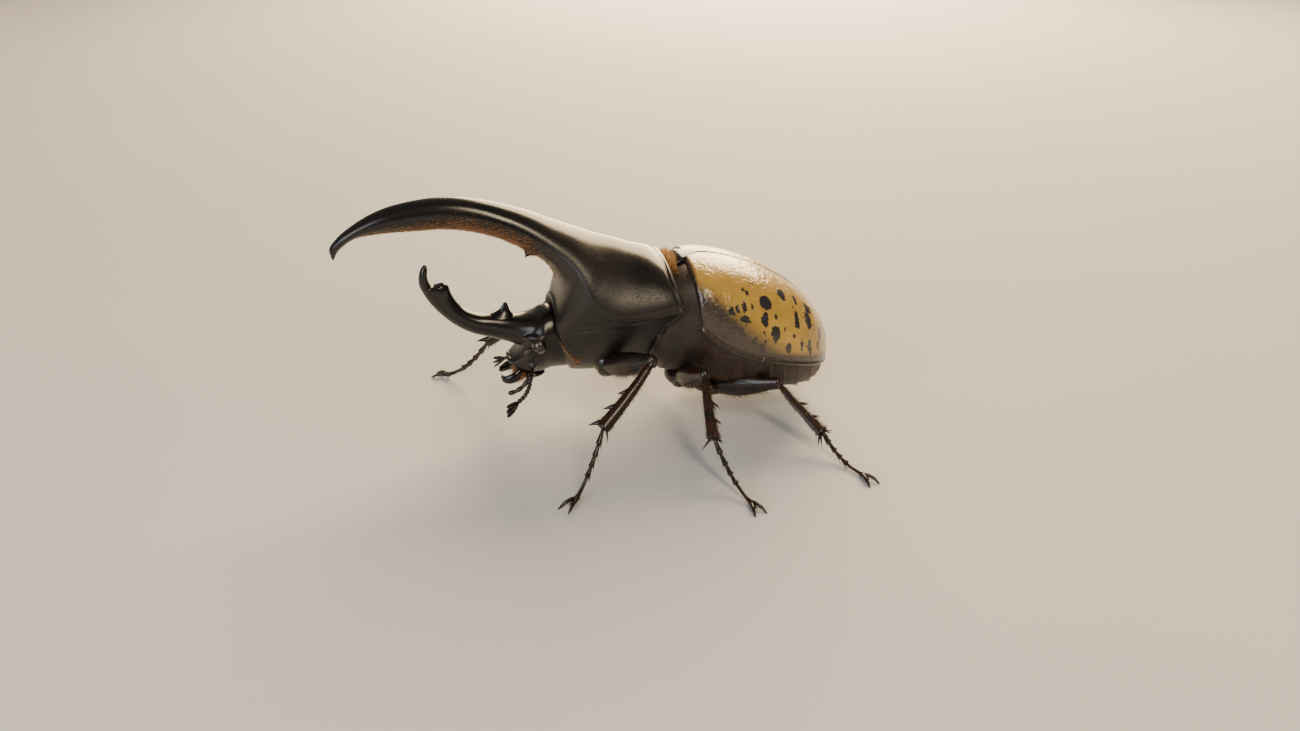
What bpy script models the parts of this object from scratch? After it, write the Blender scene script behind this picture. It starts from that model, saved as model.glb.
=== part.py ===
"""Hercules beetle: a big male that stands on the floor, a still model at life size.

It faces -Y, its left side is at +X and its feet stand on Z = 0. Every size below is in
millimetres, and new_body turns millimetres to metres. Large forms are rows of upright rings:
each ring lies in a plane that holds the X direction and runs from a top point over its widest
level to a lowest point. Legs, antennae and claws are tubes along a path.
"""
import math

import bmesh
import bpy
import numpy as np

MM = 0.001
GAP = 0.3                       # clearance between pieces that touch
COARSE_GAP = 0.4                # the same where the facets are large
FLOOR = 0.0

# Thoracic horn and pronotum, from the horn's tip to the pronotum's hind margin. Columns: top y,
# top z, lowest y, lowest z, half width, share of the depth where it is widest, width of the
# lower end against the widest, squareness of the section (2 is an ellipse) and of its upper half.
HORN_AND_SHIELD = (
    (-65.7, 51.5, -65.3, 51.4, 0.3, 0.5, 0.9, 2.0, 2.0),
    (-66.1, 54.0, -64.1, 53.4, 1.1, 0.5, 0.9, 2.0, 2.0),
    (-64.3, 56.5, -61.7, 55.4, 1.7, 0.5, 0.9, 2.0, 2.0),
    (-60.3, 59.5, -58.4, 56.9, 2.2, 0.5, 0.9, 2.0, 2.0),
    (-54.8, 62.4, -53.6, 57.4, 2.7, 0.5, 0.9, 2.0, 2.0),
    (-45.4, 64.6, -45.2, 57.5, 3.2, 0.5, 0.9, 2.1, 2.1),
    (-36.3, 64.9, -37.6, 57.4, 3.7, 0.5, 0.9, 2.1, 2.1),
    (-28.5, 63.6, -30.3, 56.0, 4.4, 0.5, 0.9, 2.2, 2.0),
    (-22.0, 61.6, -24.0, 53.6, 5.4, 0.5, 0.9, 2.2, 1.9),
    (-16.5, 59.5, -18.4, 50.2, 7.0, 0.5, 0.85, 2.2, 1.8),
    (-11.0, 57.0, -13.2, 45.6, 9.3, 0.51, 0.8, 2.3, 1.7),
    (-6.0, 54.9, -11.3, 40.4, 11.7, 0.48, 0.7, 2.5, 1.65),
    (-1.0, 52.8, -13.4, 34.0, 13.9, 0.44, 0.62, 2.8, 1.6),
    (4.0, 51.0, -15.6, 25.5, 15.6, 0.43, 0.57, 3.0, 1.62),
    (8.5, 49.3, -12.5, 17.6, 16.9, 0.41, 0.5, 3.0, 1.68),
    (12.4, 48.1, -3.0, 15.6, 17.5, 0.38, 0.5, 3.0, 1.8),
    (17.0, 46.1, 11.5, 16.0, 17.3, 0.33, 0.5, 3.0, 2.2),
)
SHIELD_COUNTS = (44, 24)                      # rings along the form, points round each
HIND_FLOOR = 0.93                             # the flat inside of the hind rim, as a share of it
# The hind corners reach back beyond the hind face: fully from full_x outwards, from the first to
# the second rise_y along the form, and between the side edge at foot_z and the back at top_z.
HIND_CORNER = dict(reach=3.0, full_x=15.0, rise_y=(3.0, 15.0), foot_z=(31.0, 34.5), top_z=(35.8, 44.8))
HORN_SPLIT_Y, HORN_SPLIT_Z = -23.0, 57.5      # where the horn leaves the pronotum
HORN_SPLIT_PITCH = math.radians(18)           # how far the horn's axis rises towards its tip there
HEAD_JOINT_Y = -14.0                          # upright plane between pronotum and head
HEAD_SEAT = dict(half_width=8.6, top=34.9, low=15.4, squareness=2.4, front_y=-24.0)
DENTICLE = dict(tip=(3.4, -18.9, 48.6), root=(3.0, -16.6, 52.4), radius=2.1)

# Head and head horn, columns as above, with one squareness for the whole section.
HEAD = (
    (-14.3, 33.8, -14.3, 16.8, 7.2, 0.45, 0.8, 2.4),
    (-16.3, 33.2, -16.3, 16.2, 7.7, 0.45, 0.8, 2.4),
    (-18.9, 30.8, -18.2, 16.0, 7.5, 0.45, 0.8, 2.4),
    (-20.8, 26.6, -20.0, 16.4, 6.4, 0.45, 0.85, 2.6),
    (-22.6, 23.0, -22.0, 17.4, 5.2, 0.45, 0.9, 2.8),
    (-24.4, 20.8, -24.0, 18.8, 4.2, 0.45, 0.9, 3.0),
)
HEAD_COUNTS = (14, 20)
HEAD_HORN = (
    (-43.5, 48.0, -44.2, 48.2, 0.5, 0.5, 0.9, 2.0),
    (-43.4, 46.7, -45.1, 47.1, 1.0, 0.5, 0.9, 2.0),
    (-43.6, 45.2, -45.7, 45.4, 1.3, 0.5, 0.9, 2.0),
    (-43.3, 43.4, -45.9, 43.3, 1.5, 0.5, 0.9, 2.0),
    (-42.6, 42.3, -45.6, 41.8, 1.6, 0.5, 0.9, 2.0),
    (-41.3, 42.5, -45.2, 40.9, 1.7, 0.5, 0.9, 2.1),
    (-39.8, 42.9, -44.8, 40.0, 1.8, 0.55, 0.9, 2.2),
    (-38.8, 42.2, -44.2, 38.8, 1.9, 0.55, 0.9, 2.2),
    (-38.2, 40.2, -43.3, 37.3, 2.0, 0.55, 0.9, 2.2),
    (-36.9, 37.4, -41.4, 34.8, 2.2, 0.52, 0.9, 2.2),
    (-34.8, 35.2, -38.2, 31.5, 2.4, 0.5, 0.9, 2.2),
    (-31.6, 33.6, -34.0, 28.7, 2.6, 0.5, 0.9, 2.3),
    (-27.6, 32.9, -28.8, 26.8, 2.9, 0.5, 0.9, 2.3),
    (-23.6, 32.4, -24.6, 25.2, 3.6, 0.5, 0.9, 2.3),
    (-20.2, 32.3, -21.0, 23.6, 4.8, 0.5, 0.9, 2.3),
    (-17.6, 32.7, -18.2, 22.0, 6.1, 0.5, 0.9, 2.3),
)
HEAD_HORN_COUNTS = (36, 12)
MIDDLE_TOOTH = ((-26.9, 31.5, 4.6), (-26.4, 33.2, 3.1), (-25.5, 34.3, 1.7), (-24.85, 35.5, 0.75),
                (-24.8, 36.2, 0.3))           # y, z and radius from its root to its tip
TOOTH_FLATNESS = 0.5
CANTHUS = ((3.6, -20.6, 22.0), (6.6, -20.2, 24.4), (8.2, -19.4, 25.8), (8.9, -18.4, 26.3))
CANTHUS_RADII = (1.1, 0.4)                    # ridge that runs from the cheek into the eye
CLYPEUS_RIM = ((-4.2, -23.2, 20.1), (-2.0, -24.8, 20.5), (0.0, -24.5, 20.6), (2.0, -24.8, 20.5),
               (4.2, -23.2, 20.1))
CLYPEUS_RIM_RADIUS = 0.6

# Hind body: suture line, elytral margin and belly line, from the elytra's base to their tips.
# Columns: suture y, suture z, margin y, margin z, belly y, belly z.
HIND_BODY = (
    (21.8, 45.3, 22.8, 30.2, 22.8, 11.4),
    (27.0, 45.1, 26.5, 26.6, 27.0, 10.0),
    (33.0, 43.9, 32.5, 22.9, 33.0, 8.4),
    (39.8, 41.5, 39.0, 20.3, 39.5, 7.1),
    (46.5, 38.1, 46.0, 18.4, 46.0, 6.2),
    (53.0, 33.7, 52.8, 16.4, 52.0, 5.6),
    (58.4, 28.2, 58.4, 14.4, 57.4, 5.8),
    (61.8, 22.4, 61.4, 13.1, 60.6, 7.2),
    (63.2, 16.8, 62.7, 12.4, 61.8, 9.0),
    (63.3, 13.2, 63.1, 12.2, 62.0, 10.2),
)
ELYTRA_HALF_WIDTH = 18.6
ELYTRA_WIDEST_Y = 38.0
ELYTRA_REACH = 25.2             # from the widest place to the tips
ELYTRA_PLAN_POWER = 2.7         # squareness of the outline seen from above
ELYTRON_SQUARENESS = 2.5
ELYTRON_THICKNESS = 0.9
ELYTRON_COUNTS = (20, 11)       # rows along each elytron, points from suture to margin
CORE_COUNTS = (24, 15)          # rows along the body under them, points over its back
BELLY_SQUARENESS = 2.3
SEGMENT_COUNT = 6               # visible belly segments
SEGMENT_STEP = 0.35             # how far each one stands over the next
ABDOMEN_Y = 34.0                # joint between hind thorax and abdomen
PYGIDIUM_Y = 57.5               # joint between abdomen and its end plate
# Neck between pronotum and elytra. Columns: way behind the pronotum, top z, lowest z, half width.
NECK_ROWS = ((GAP, 43.4, 17.5, 13.4), (GAP + 2.4, 43.8, 15.0, 14.0))
NECK_WIDEST, NECK_SQUARENESS = 0.6, 2.5       # share of its depth where it is widest

EYE = dict(centre=(6.9, -17.5, 26.0), radii=(2.1, 1.9, 2.2))

# Legs: hip, knee, ankle, toe and claw points, as the beetle stands.
FRONT, MIDDLE, HIND = "front", "middle", "hind"
LEGS = {
    (FRONT, "left"): ((8, -1, 18.5), (22, 8.8, 25.8), (31, -6, 13.8), (41, -15, 0.8), (45, -19.6, 0)),
    (FRONT, "right"): ((-8, -1, 18.5), (-20, -11, 26), (-23.5, -28, 14), (-32, -40, 0.8), (-35, -44.4, 0)),
    (MIDDLE, "left"): ((8.5, 19, 13), (23, 22.2, 20.7), (37, 20.5, 10.5), (53, 25.4, 0.8), (58, 26.6, 0)),
    (MIDDLE, "right"): ((-8.5, 19, 13), (-23, 20.8, 20.7), (-37, 17.6, 10.5), (-52, 16, 0.8), (-57, 15.2, 0)),
    (HIND, "left"): ((7, 28, 8.8), (20, 43.2, 14.1), (33, 51, 5.6), (48, 56.4, 0.8), (52.8, 58, 0)),
    (HIND, "right"): ((-7, 28, 8.8), (-19.4, 44, 14.6), (-31, 54, 6), (-40, 65.5, 0.8), (-42.8, 69.8, 0)),
}
FEMUR_PLACES = (0.0, 0.16, 0.4, 0.62, 0.85, 1.0)
FEMUR_RADII = {FRONT: (1.9, 2.5, 3.2, 3.0, 2.1, 1.7), MIDDLE: (1.8, 2.3, 3.0, 2.7, 1.9, 1.6),
               HIND: (1.9, 2.5, 3.2, 2.9, 1.9, 1.6)}
FEMUR_FLATNESS = 0.78
FEMUR_EXTRA = 1.2                             # length beyond hip and knee before it is cut
COXA = {FRONT: ((5.6, -0.5, 19.6), (4.6, 3.4, 3.6)), MIDDLE: ((6.2, 19.4, 13.2), (4.6, 3.4, 2.8)),
        HIND: ((6.2, 27.4, 9.8), (5.6, 3.8, 2.2))}       # centre and radii, left side
TIBIA_PLACES = (0.0, 0.2, 0.45, 0.7, 0.9, 1.0)
TIBIA_RADII = {FRONT: (1.0, 1.1, 1.3, 1.5, 1.7, 1.8), MIDDLE: (0.95, 1.05, 1.2, 1.35, 1.6, 1.9),
               HIND: (0.95, 1.05, 1.25, 1.4, 1.7, 2.0)}
TIBIA_FLATNESS = 0.75
TIBIA_EXTRA = 1.0
OUTER_EDGE_FALL = 0.35                        # how far the toothed edge turns down
FRONT_TEETH = (0.5, 0.72, 0.95)               # places of the outer teeth along the front tibia
OUTER_SPINES = (0.42, 0.68)                   # places of the spine pairs along the other tibiae
END_CROWN = (20, 92, 164)                     # degrees round the end where short spines stand
END_PLACE = 0.96                              # where that crown and the spurs stand
TOOTH_LENGTH, TOOTH_RADIUS = 2.7, 0.9
SPINE_LENGTH, SPINE_RADIUS = 2.2, 0.45
SPUR_LENGTH, SPUR_RADIUS = 3.4, 0.5
ONWARD_LEAN = 0.75                            # how far teeth and spines lean towards the foot
SPINE_ROOT = 1.2                              # length sunk in the shaft
SPINE_ASIDE, SPUR_ASIDE = (0.55, -0.55), (-0.2, -1.1)   # how far each of a pair turns aside
POINT_MIDDLE, POINT_RADIUS = 0.62, 0.12       # a point's half-way share of its root, and its tip
TARSUS_SHARES = (0.19, 0.14, 0.14, 0.14, 0.39)   # lengths of the five tarsal joints
TARSUS_RADII = (0.5, 0.9)                     # a joint's thin root and its thick end
TARSUS_SAG = 0.1                              # how far the joints hang, as a share of their length
TARSUS_FLATNESS = 0.85
TARSUS_EXTRA = 1.0
NOTCH_ENDS = (0.012, 0.008)                   # the narrow place between two joints, as shares
CLAW_SPREAD = 1.7                             # half distance between the two claw tips
CLAW_RADIUS = 0.55
CLAW_PLACES = (0.0, 0.3, 0.6, 0.85, 1.0)
CLAW_TAPER = (1.0, 0.95, 0.75, 0.5, 0.25)
CLAW_ARCH, CLAW_DROP = 0.9, 0.75              # how high a claw arches and how far its tip drops
CLAW_SUNK = 0.12                              # share of its reach inside the last joint
CLAW_BOW, CLAW_CURL = 0.8, 0.9 * math.pi      # how its path bows outwards and arches

# Mouthparts and feelers, left side; the right side mirrors them.
MANDIBLE = ((3.2, -22.2, 16.9), (4.0, -24.2, 16.0), (3.5, -26.2, 15.5), (1.9, -27.4, 15.7))
PALP = ((3.5, -19.8, 17.0), (3.9, -21.2, 14.0), (4.1, -23.6, 12.2), (3.7, -26.0, 11.4))
FEELER = ((5.2, -19.0, 20.4), (8.2, -20.2, 18.4), (10.6, -21.2, 16.2), (12.0, -22.6, 14.6),
          (13.0, -24.4, 13.6))
MANDIBLE_RADII = (1.5, 1.5, 1.4, 1.2, 1.0, 0.7, 0.35)
PALP_RADII = (0.5, 0.45, 0.6, 0.42, 0.6, 0.42, 0.55, 0.7, 0.4)
MANDIBLE_FLATNESS = 0.6
SCAPE_RADIUS, SCAPE_STATIONS = 0.62, 5
BEAD_RADII, FEELER_STATIONS = (0.42, 0.6), 17
CLUB_LEAF = dict(length=4.2, radii=(0.95, 0.3), count=3, fan=math.radians(18), apart=0.12,
                 places=(-0.12, 0.25, 0.6, 0.9, 1.0), taper=(0.4, 0.9, 1.0, 0.7, 0.3))
CHIN = dict(centre=(0, -18.8, 15.2), radii=(2.6, 3.4, 1.1))
SCUTELLUM = dict(front_y=18.2, tip_y=26.0, half_width=4.3, z=45.45, depth=2.2, front_fall=1.2,
                 fall_share=0.4, tip_fall=0.1, point_width=0.15, plan_power=1.6)


def material(name, colour, roughness):
    """A glossy cuticle or dull skin, from an sRGB hex colour."""
    made = bpy.data.materials.get(name) or bpy.data.materials.new(name)
    made.use_nodes = True
    shader = made.node_tree.nodes["Principled BSDF"]
    channels = [int(colour[k:k + 2], 16) / 255 for k in (1, 3, 5)]
    linear = [c / 12.92 if c <= 0.04045 else ((c + 0.055) / 1.055) ** 2.4 for c in channels]
    shader.inputs["Base Color"].default_value = (*linear, 1)
    shader.inputs["Roughness"].default_value = roughness
    return made


BLACK = ("black_cuticle", "#15110F", 0.25)
OCHRE = ("ochre_elytra", "#AE8830", 0.25)
LEG = ("leg_cuticle", "#1D1310", 0.3)
BELLY = ("belly_cuticle", "#2A1E18", 0.45)
EYE_FINISH = ("eye_cuticle", "#2B1A12", 0.15)
SHARP_EDGE = math.radians(40)


def smooth_step(low, high, value):
    """0 below low, 1 above high, and a smooth rise between them."""
    t = np.clip((np.asarray(value, float) - low) / (high - low), 0.0, 1.0)
    return t * t * (3 - 2 * t)


def unit(vector):
    """A vector's direction."""
    return np.array(vector, float) / np.linalg.norm(vector)


def smooth_rows(rows, count):
    """`count` rows read evenly from the smooth curve through the key rows."""
    rows = np.array(rows, float)
    steps = np.linalg.norm(np.diff(rows, axis=0), axis=1)
    at = np.concatenate([[0.0], np.cumsum(steps)])
    slopes = np.gradient(rows, at, axis=0)
    wanted = np.linspace(0.0, at[-1], count)
    k = np.clip(np.searchsorted(at, wanted, side="right") - 1, 0, len(at) - 2)
    span = (at[k + 1] - at[k])[:, None]
    t = (wanted - at[k])[:, None] / span
    start = (1 + 2 * t) * (1 - t) ** 2 * rows[k] + t * (1 - t) ** 2 * span * slopes[k]
    end = t ** 2 * (3 - 2 * t) * rows[k + 1] - t ** 2 * (1 - t) * span * slopes[k + 1]
    return start + end


def arches(top, wide, low, half_width, angles, power, lower_ratio=1.0, upper_power=None):
    """Upright rings: angle 0 is the top, 90 degrees the widest level, 180 the lowest point.

    Each ring is a superellipse in the plane through X and its own top and lowest points; the
    half above the widest level may have a power of its own.
    """
    upper = np.cos(angles)[None, :] > 0
    powers = [np.broadcast_to(np.asarray(value, float), half_width.shape)[:, None]
              for value in (power if upper_power is None else upper_power, power)]
    exponent = 2.0 / np.where(upper, *powers)
    rise = np.abs(np.cos(angles))[None, :] ** exponent
    side = np.sign(np.sin(angles))[None, :] * np.abs(np.sin(angles))[None, :] ** exponent
    taper = 1 - (1 - np.broadcast_to(lower_ratio, half_width.shape))[:, None] * rise
    x = half_width[:, None] * side * np.where(upper, 1.0, taper)
    towards = np.where(upper[..., None], (top - wide)[:, None, :], (low - wide)[:, None, :])
    yz = wide[:, None, :] + towards * rise[..., None]
    return np.concatenate([x[..., None], yz], axis=2)


def form_rings(keys, counts, grow=0.0):
    """Rings of a form given as top, lowest, half width, widest share, ratio and squareness."""
    count, sides = counts
    rows = smooth_rows(keys, count)
    top = rows[:, 0:2]
    low = rows[:, 2:4]
    depth = np.linalg.norm(low - top, axis=1, keepdims=True)
    out = (top - low) / depth * grow
    top, low = top + out, low - out
    wide = top + (low - top) * rows[:, 5:6]
    angles = np.arange(sides) * 2 * math.pi / sides
    return arches(top, wide, low, rows[:, 4] + grow, angles, rows[:, 7], rows[:, 6], rows[:, -1])


def new_body(name, points, faces, finish):
    """A closed body from points in millimetres, its faces turned outwards."""
    mesh = bpy.data.meshes.new(name)
    mesh.from_pydata((np.asarray(points) * MM).tolist(), [], faces)
    work = bmesh.new()
    work.from_mesh(mesh)
    bmesh.ops.recalc_face_normals(work, faces=work.faces)
    work.to_mesh(mesh)
    work.free()
    mesh.materials.append(material(*finish))
    body = bpy.data.objects.new(name, mesh)
    bpy.context.scene.collection.objects.link(body)
    return body


def skin(name, rings, finish):
    """A closed body over a row of rings, with a flat face at each end."""
    count, sides, _ = rings.shape
    faces = []
    for i in range(count - 1):
        for j in range(sides):
            k = (j + 1) % sides
            faces.append((i * sides + j, i * sides + k, (i + 1) * sides + k, (i + 1) * sides + j))
    faces.append(tuple(range(sides))[::-1])
    faces.append(tuple((count - 1) * sides + j for j in range(sides)))
    return new_body(name, rings.reshape(-1, 3), faces, finish)


def shell(name, outer, inner, finish):
    """A closed plate between an outer and an inner grid of points."""
    rows, cols, _ = outer.shape
    size = rows * cols
    faces = []
    for i in range(rows - 1):
        for j in range(cols - 1):
            quad = (i * cols + j, (i + 1) * cols + j, (i + 1) * cols + j + 1, i * cols + j + 1)
            faces.append(quad)
            faces.append(tuple(size + v for v in reversed(quad)))
    rim = list(range(cols))
    rim += [i * cols + cols - 1 for i in range(1, rows)]
    rim += [(rows - 1) * cols + j for j in range(cols - 2, -1, -1)]
    rim += [i * cols for i in range(rows - 2, 0, -1)]
    for a, b in zip(rim, rim[1:] + rim[:1]):
        faces.append((a, b, size + b, size + a))
    return new_body(name, np.concatenate([outer.reshape(-1, 3), inner.reshape(-1, 3)]), faces, finish)


def tube(name, path, radii, finish, sides=8, flat=1.0, across=(0, 0, 1)):
    """A round tube along a path; `flat` is its thickness against its width along `across`."""
    path = np.array(path, float)
    radii = np.array(radii, float)
    along = np.gradient(path, axis=0)
    along /= np.linalg.norm(along, axis=1, keepdims=True)
    wide = np.array(across, float) - along * (along @ np.array(across, float))[:, None]
    wide /= np.linalg.norm(wide, axis=1, keepdims=True)
    thin = np.cross(along, wide)
    angles = np.arange(sides) * 2 * math.pi / sides
    rings = (path[:, None] + (radii[:, None] * np.cos(angles))[..., None] * wide[:, None]
             + (radii[:, None] * flat * np.sin(angles))[..., None] * thin[:, None])
    return skin(name, rings, finish)


def ball(name, centre, radii, finish, rows=8, sides=12):
    """An ellipsoid with small flat poles along X."""
    turns = np.linspace(0.02, 0.98, rows) * math.pi
    angles = np.arange(sides) * 2 * math.pi / sides
    x = np.repeat(np.cos(turns)[:, None], sides, axis=1)
    y = np.sin(turns)[:, None] * np.cos(angles)
    z = np.sin(turns)[:, None] * np.sin(angles)
    rings = np.stack([x, y, z], axis=2) * np.array(radii) + np.array(centre)
    return skin(name, rings, finish)


def applied(body):
    """Replace a body's mesh by what its modifiers make of it."""
    graph = bpy.context.evaluated_depsgraph_get()
    mesh = bpy.data.meshes.new_from_object(body.evaluated_get(graph))
    body.modifiers.clear()
    body.data = mesh
    keep_largest(body)


def keep_largest(body):
    """Keep only the largest closed surface of a body."""
    work = bmesh.new()
    work.from_mesh(body.data)
    work.faces.ensure_lookup_table()
    left = set(work.faces)
    parts = []
    while left:
        reached = {left.pop()}
        edge = list(reached)
        while edge:
            face = edge.pop()
            for side in face.edges:
                for other in side.link_faces:
                    if other in left:
                        left.remove(other)
                        reached.add(other)
                        edge.append(other)
        parts.append(reached)
    parts.sort(key=lambda faces: sum(face.calc_area() for face in faces))
    loose = [face for faces in parts[:-1] for face in faces]
    bmesh.ops.delete(work, geom=loose, context="FACES")
    work.to_mesh(body.data)
    work.free()


def fuse(pieces):
    """Join overlapping closed pieces into the first one by one Boolean union."""
    body = pieces[0]
    group = bpy.data.collections.new(body.name + "_pieces")
    for piece in pieces[1:]:
        group.objects.link(piece)
    join = body.modifiers.new("Union", "BOOLEAN")
    join.operation = "UNION"
    join.operand_type = "COLLECTION"
    join.collection = group
    join.solver = "EXACT"
    applied(body)
    for piece in pieces[1:]:
        bpy.data.objects.remove(piece)
    bpy.data.collections.remove(group)
    return body


def carve(body, cutter):
    """Cut a closed cutter out of a body and remove the cutter."""
    cut = body.modifiers.new("Cut", "BOOLEAN")
    cut.operation = "DIFFERENCE"
    cut.object = cutter
    cut.solver = "EXACT"
    applied(body)
    bpy.data.objects.remove(cutter)
    return body


def trim(body, point, normal):
    """Slice a body by a plane and keep the side that its normal points away from."""
    work = bmesh.new()
    work.from_mesh(body.data)
    geometry = work.verts[:] + work.edges[:] + work.faces[:]
    bmesh.ops.bisect_plane(work, geom=geometry, dist=1e-8, plane_co=np.array(point, float) * MM,
                           plane_no=normal, clear_outer=True)
    rim = [edge for edge in work.edges if edge.is_boundary]
    bmesh.ops.holes_fill(work, edges=rim, sides=0)
    bmesh.ops.recalc_face_normals(work, faces=work.faces)
    work.to_mesh(body.data)
    work.free()
    return body


def duplicate(body, name):
    """A copy of a body with its own mesh."""
    twin = body.copy()
    twin.data = body.data.copy()
    twin.name = name
    twin.data.name = name
    bpy.context.scene.collection.objects.link(twin)
    return twin


def tooth(name, tip, base, radius, finish, thickness=1.0, across=(0, 1, 0)):
    """A pointed cone from a sunk base to its tip."""
    path = [np.array(base, float) * (1 - t) + np.array(tip, float) * t for t in (0.0, 0.55, 1.0)]
    return tube(name, path, [radius, radius * POINT_MIDDLE, POINT_RADIUS], finish, sides=6,
                flat=thickness, across=across)


def hind_face_y(z):
    """Where the pronotum's leaning hind face stands at a height."""
    top_y, top_z, low_y, low_z = HORN_AND_SHIELD[-1][:4]
    return top_y + (z - top_z) * (top_y - low_y) / (top_z - low_z)


def shield_rings(grow=0.0):
    """Rings of horn and pronotum, the hind corners drawn back behind the flat hind face."""
    rings = form_rings(HORN_AND_SHIELD, SHIELD_COUNTS, grow)
    middle = rings[-1].mean(axis=0)
    flat_face = middle + (rings[-1:] - middle) * HIND_FLOOR
    x, y, z = np.moveaxis(rings, 2, 0)
    c = HIND_CORNER
    drawn = (smooth_step(0, c["full_x"], np.abs(x)) * smooth_step(*c["rise_y"], y)
             * smooth_step(*c["foot_z"], z) * (1 - smooth_step(*c["top_z"], z)))
    rings[..., 1] = y + c["reach"] * drawn
    return np.concatenate([rings, flat_face])


def grown_prothorax():
    """The prothorax's skin one gap larger, for cutting what sits against it."""
    return skin("grown_prothorax", shield_rings(GAP), BLACK)


def prothorax():
    """Pronotum and thoracic horn, parted by a slanted joint, with the seat of the head."""
    whole = skin("pronotum", shield_rings(), BLACK)
    horn = duplicate(whole, "thoracic_horn")
    lean = np.array((0.0, math.cos(HORN_SPLIT_PITCH), -math.sin(HORN_SPLIT_PITCH)))
    joint = np.array((0.0, HORN_SPLIT_Y, HORN_SPLIT_Z))
    trim(horn, joint - lean * GAP / 2, lean)
    trim(whole, joint + lean * GAP / 2, -lean)
    s = HEAD_SEAT
    ends = [(y, s["top"], y, s["low"], s["half_width"], 0.5, 1.0, s["squareness"])
            for y in (s["front_y"], HEAD_JOINT_Y)]
    carve(whole, skin("seat", form_rings(ends, (2, HEAD_COUNTS[1])), BLACK))
    denticles = []
    for side in (1, -1):
        tip, root = [np.array(DENTICLE[end]) * (side, 1, 1) for end in ("tip", "root")]
        denticles.append(tooth("denticle", tip, root, DENTICLE["radius"], BLACK))
    fuse([whole] + denticles)


def grown_head():
    """The head's skin one gap larger, for cutting what grows from it."""
    return skin("grown_head", form_rings(HEAD, HEAD_COUNTS, GAP), BLACK)


def middle_tooth():
    """The head horn's upright tooth: level ellipses with a long front flank and a steep back."""
    rows = smooth_rows(MIDDLE_TOOTH, 8)
    turns = np.arange(10) * 2 * math.pi / 10
    radii = rows[:, 2:3]
    rings = np.stack([TOOTH_FLATNESS * radii * np.sin(turns), rows[:, 0:1] + radii * np.cos(turns),
                      np.repeat(rows[:, 1:2], len(turns), axis=1)], axis=2)
    return skin("middle_tooth", rings, BLACK)


def head():
    """Head with its clypeus rim, cheek ridges and eye sockets, and the horn seated on its brow."""
    skull = skin("head", form_rings(HEAD, HEAD_COUNTS), BLACK)
    rim = smooth_rows(CLYPEUS_RIM, 9)
    ridges = [tube("rim", rim, [CLYPEUS_RIM_RADIUS] * len(rim), BLACK, sides=6)]
    for side in (1, -1):
        path = smooth_rows(np.array(CANTHUS) * (side, 1, 1), 6)
        ridges.append(tube("canthus", path, np.linspace(*CANTHUS_RADII, len(path)), BLACK, sides=6))
    fuse([skull] + ridges)
    horn = skin("head_horn", form_rings(HEAD_HORN, HEAD_HORN_COUNTS), BLACK)
    fuse([horn, middle_tooth()])
    carve(horn, grown_head())
    for side, label in ((1, "left"), (-1, "right")):
        centre = np.array(EYE["centre"]) * (side, 1, 1)
        ball("eye_" + label, centre, EYE["radii"], EYE_FINISH)
        carve(skull, ball("socket", centre, [r + GAP for r in EYE["radii"]], BLACK))


def margin_half_width(y):
    """Half width of the elytra at a place along their margin: one superellipse in plan."""
    share = np.abs((y - ELYTRA_WIDEST_Y) / ELYTRA_REACH)
    return ELYTRA_HALF_WIDTH * np.sqrt(1 - share ** ELYTRA_PLAN_POWER)


def inset(grid, depth):
    """An open grid of points moved in along its own normals."""
    normal = np.cross(np.gradient(grid, axis=1), np.gradient(grid, axis=0))
    normal /= np.linalg.norm(normal, axis=2, keepdims=True)
    return grid - normal * depth


def hind_rows(count):
    """Suture, margin and belly points with the half width, for evenly read stations."""
    rows = smooth_rows(HIND_BODY, count)
    return rows[:, 0:2], rows[:, 2:4], rows[:, 4:6], margin_half_width(rows[:, 2])


def elytra():
    """Two domed wing cases that meet along the back."""
    rows, cols = ELYTRON_COUNTS
    top, margin, belly, half_width = hind_rows(rows)
    angles = np.radians(np.linspace(0, 90, cols))
    outer = arches(top, margin, belly, half_width, angles, ELYTRON_SQUARENESS)
    inner = inset(outer, ELYTRON_THICKNESS)
    for side, label in ((1, "left"), (-1, "right")):
        placed = [(grid + (GAP / 2, 0, 0)) * (side, 1, 1) for grid in (outer, inner)]
        case = shell("elytron_" + label, *placed, OCHRE)
        carve(case, skin("notch", scutellum_rings(GAP), OCHRE))


def core_rings(grow=0.0):
    """Rings of the body under the elytra, from the neck to the tail."""
    rows, cols = CORE_COUNTS
    top, margin, belly, half_width = hind_rows(rows)
    over = np.radians(np.linspace(-90, 90, cols))
    under = np.radians(np.linspace(90, 270, cols)[1:-1])
    roof = arches(top, margin, belly, half_width, over, ELYTRON_SQUARENESS)
    roof = inset(roof, ELYTRON_THICKNESS + GAP - grow)
    edge = roof[:, -1]
    ridge = SEGMENT_STEP * ((edge[:, 1] - ABDOMEN_Y) / (PYGIDIUM_Y - ABDOMEN_Y) * SEGMENT_COUNT % 1)
    ridge = np.where(edge[:, 1] > ABDOMEN_Y, ridge, 0)
    belly = belly - np.stack([0 * ridge, SEGMENT_STEP - ridge + grow], axis=1)
    floor_side = arches(top, edge[:, 1:], belly, edge[:, 0], under, BELLY_SQUARENESS)
    core = np.concatenate([roof, floor_side], axis=1)
    neck = []
    for behind, high, low, width in NECK_ROWS:
        middle = high + (low - high) * NECK_WIDEST
        levels = ((high, high + grow), (middle, middle), (low, low - grow))
        points = [np.array([(hind_face_y(level) + behind, z)]) for level, z in levels]
        neck.append(arches(*points, np.array([width + grow]), np.concatenate([over, under]),
                           NECK_SQUARENESS))
    return np.concatenate(neck + [core])


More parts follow.
